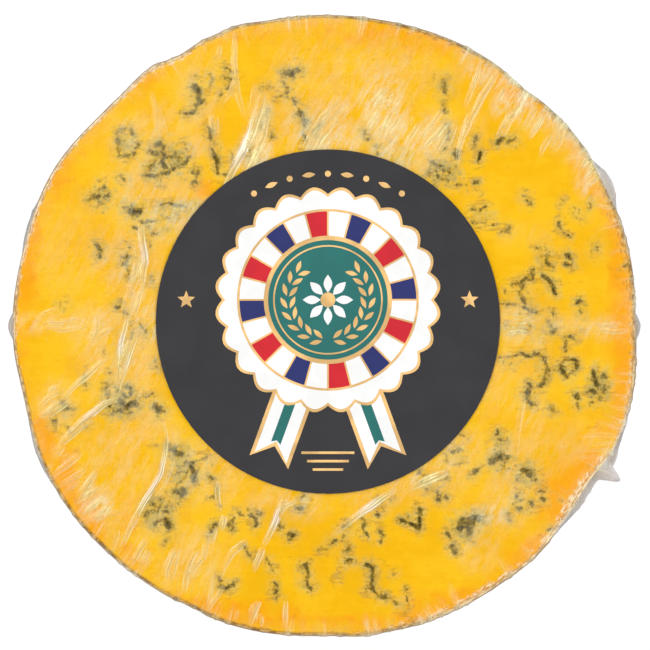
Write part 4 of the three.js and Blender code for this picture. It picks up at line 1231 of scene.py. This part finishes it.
for side in (-1, 1):
    for leaf in range(8):
        at = math.radians(-90 + side * (16 + 17.5 * leaf))
        for reach, tilt in ((0.0142, 28), (0.0114, -28)):
            middle = polar([reach], [at])[0]
            print_shape("gold", 7, petal(middle, 0.0042, 0.0015, math.degrees(at) + side * (90 - tilt)))
for daisy_petal in range(8):
    middle = polar([0.0052], [math.radians(45 * daisy_petal)])[0]
    print_shape("white", 8, petal(middle, 0.0058, 0.0028, 45 * daisy_petal))
print_shape("gold", 9, around(0.0024, count=20))
star_turns = [math.tau * (i / 10 + 0.25) for i in range(10)]
for side in (-1, 1):
    print_shape("gold", 0, polar(STAR_SIZES * 5, star_turns, (side * 0.0455, ROSETTE_Y)))
for lozenge in range(9):
    at = 90 + 7.5 * (lozenge - 4)
    middle = around(0.0475, at, at, 1, (0, 0))[0]
    dot = around(0.0010, count=12, middle=middle)
    print_shape("gold", 0, petal(middle, 0.0044, 0.0017, at + 90) if lozenge % 2 else dot)
for rule in range(3):
    low, half = -0.0425 - 0.0027 * rule, 0.0085 - 0.0018 * rule
    print_shape("gold", 0, [(-half, low), (half, low), (half, low + 0.0008), (-half, low + 0.0008)])

INK_COLOURS = {"gold": (0.90, 0.55, 0.21), "white": (0.90, 0.90, 0.89), "teal": (0.018, 0.160, 0.145),
               "navy": (0.020, 0.027, 0.150), "red": (0.62, 0.012, 0.024)}
for ink, shapes in inks.items():
    bpy.ops.object.select_all(action="DESELECT")
    for shape in shapes:
        shape.select_set(True)
    bpy.context.view_layer.objects.active = shapes[0]
    bpy.ops.object.join()
    printed = bpy.context.object
    printed.name = printed.data.name = ink + "_ink"
    ink_material, tree, shader = start_material(ink + "_ink")
    place = object_place(tree)
    colour = INK_COLOURS[ink]
    shade = 0.72 if ink == "gold" else 0.92
    darker = tuple(shade * c for c in colour) + (1,)
    ink_colour = mottled_colour(tree, place, 0.009, darker, colour + (1,), 0.40, 0.62)
    tree.links.new(ink_colour, shader.inputs["Base Color"])
    set_sockets(shader, {"Roughness": 0.45, "Specular IOR Level": 0.3})
    printed.data.materials.append(ink_material)
    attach(printed, "root")

# The stage is a pale table lit from above by soft boxes on both sides, with the camera
# straight over the cut face as in the photograph.
TABLE_SIZE = 6.0
TABLE_DROP = 0.0003
bpy.ops.mesh.primitive_plane_add(size=TABLE_SIZE, location=(0, 0, -TABLE_DROP))
table = bpy.context.object
table.name = "table"
table_material, tree, shader = start_material("pale_table")
set_sockets(shader, {"Base Color": (0.20, 0.20, 0.20, 1), "Roughness": 0.8, "Emission Color": (1, 1, 1, 1)})
table_rays = add_node(tree, "ShaderNodeLightPath")
glow = scaled(tree, table_rays.outputs["Is Glossy Ray"], -0.62, 0.86)
tree.links.new(glow, shader.inputs["Emission Strength"])
table.data.materials.append(table_material)

world = bpy.data.worlds.new("studio")
bpy.context.scene.world = world
world.use_nodes = True
backdrop = world.node_tree.nodes["Background"]
backdrop.inputs["Color"].default_value = (1, 1, 1, 1)
rays = add_node(world.node_tree, "ShaderNodeLightPath")
upwards = add_node(world.node_tree, "ShaderNodeSeparateXYZ",
                   {0: add_node(world.node_tree, "ShaderNodeTexCoord").outputs["Generated"]}).outputs["Z"]
overhead = ramp(world.node_tree, upwards, 0.0, 0.55)
strength = scaled(world.node_tree, rays.outputs["Is Camera Ray"], 0.67, 0.33)
darker = times(world.node_tree, overhead, rays.outputs["Is Glossy Ray"])
strength = scaled(world.node_tree, darker, -0.27, strength)
world.node_tree.links.new(strength, backdrop.inputs["Strength"])

# Each soft box: place, size and power
for name, spot, size, power in (
    ("left_key", (-0.42, 0.28, 1.05), 0.35, 3.7), ("right_key", (0.45, -0.12, 0.98), 0.32, 2.5),
    ("back_left_fill", (-0.92, 0.92, 0.80), 1.1, 4.8), ("back_right_fill", (0.92, 0.92, 0.80), 1.1, 4.6),
    ("front_left_fill", (-0.92, -0.92, 0.80), 1.1, 4.6), ("front_right_fill", (0.92, -0.92, 0.80), 1.1, 4.4),
):
    lamp = bpy.data.lights.new(name, "AREA")
    lamp.size, lamp.energy = size, power
    lamp_object = bpy.data.objects.new(name, lamp)
    bpy.context.scene.collection.objects.link(lamp_object)
    lamp_object.location = spot
    aim = Vector((0, 0, 0.08)) - Vector(spot)
    lamp_object.rotation_euler = aim.to_track_quat("-Z", "Y").to_euler()
    lamp_object.visible_camera = False
    lamp_object.visible_glossy = name.endswith("key")

CAMERA_DISTANCE = 1.2
FRAME_WIDTH = 650 * PHOTO_PIXEL
camera = bpy.data.cameras.new("camera")
camera.sensor_width = 36
camera.lens = 36 * CAMERA_DISTANCE / FRAME_WIDTH
camera_object = bpy.data.objects.new("camera", camera)
bpy.context.scene.collection.objects.link(camera_object)
camera_object.location = (*from_photo(325, 325), SEAT_HEIGHT - 0.001 + CAMERA_DISTANCE)
bpy.context.scene.camera = camera_object
bpy.context.scene.view_settings.view_transform = "Standard"
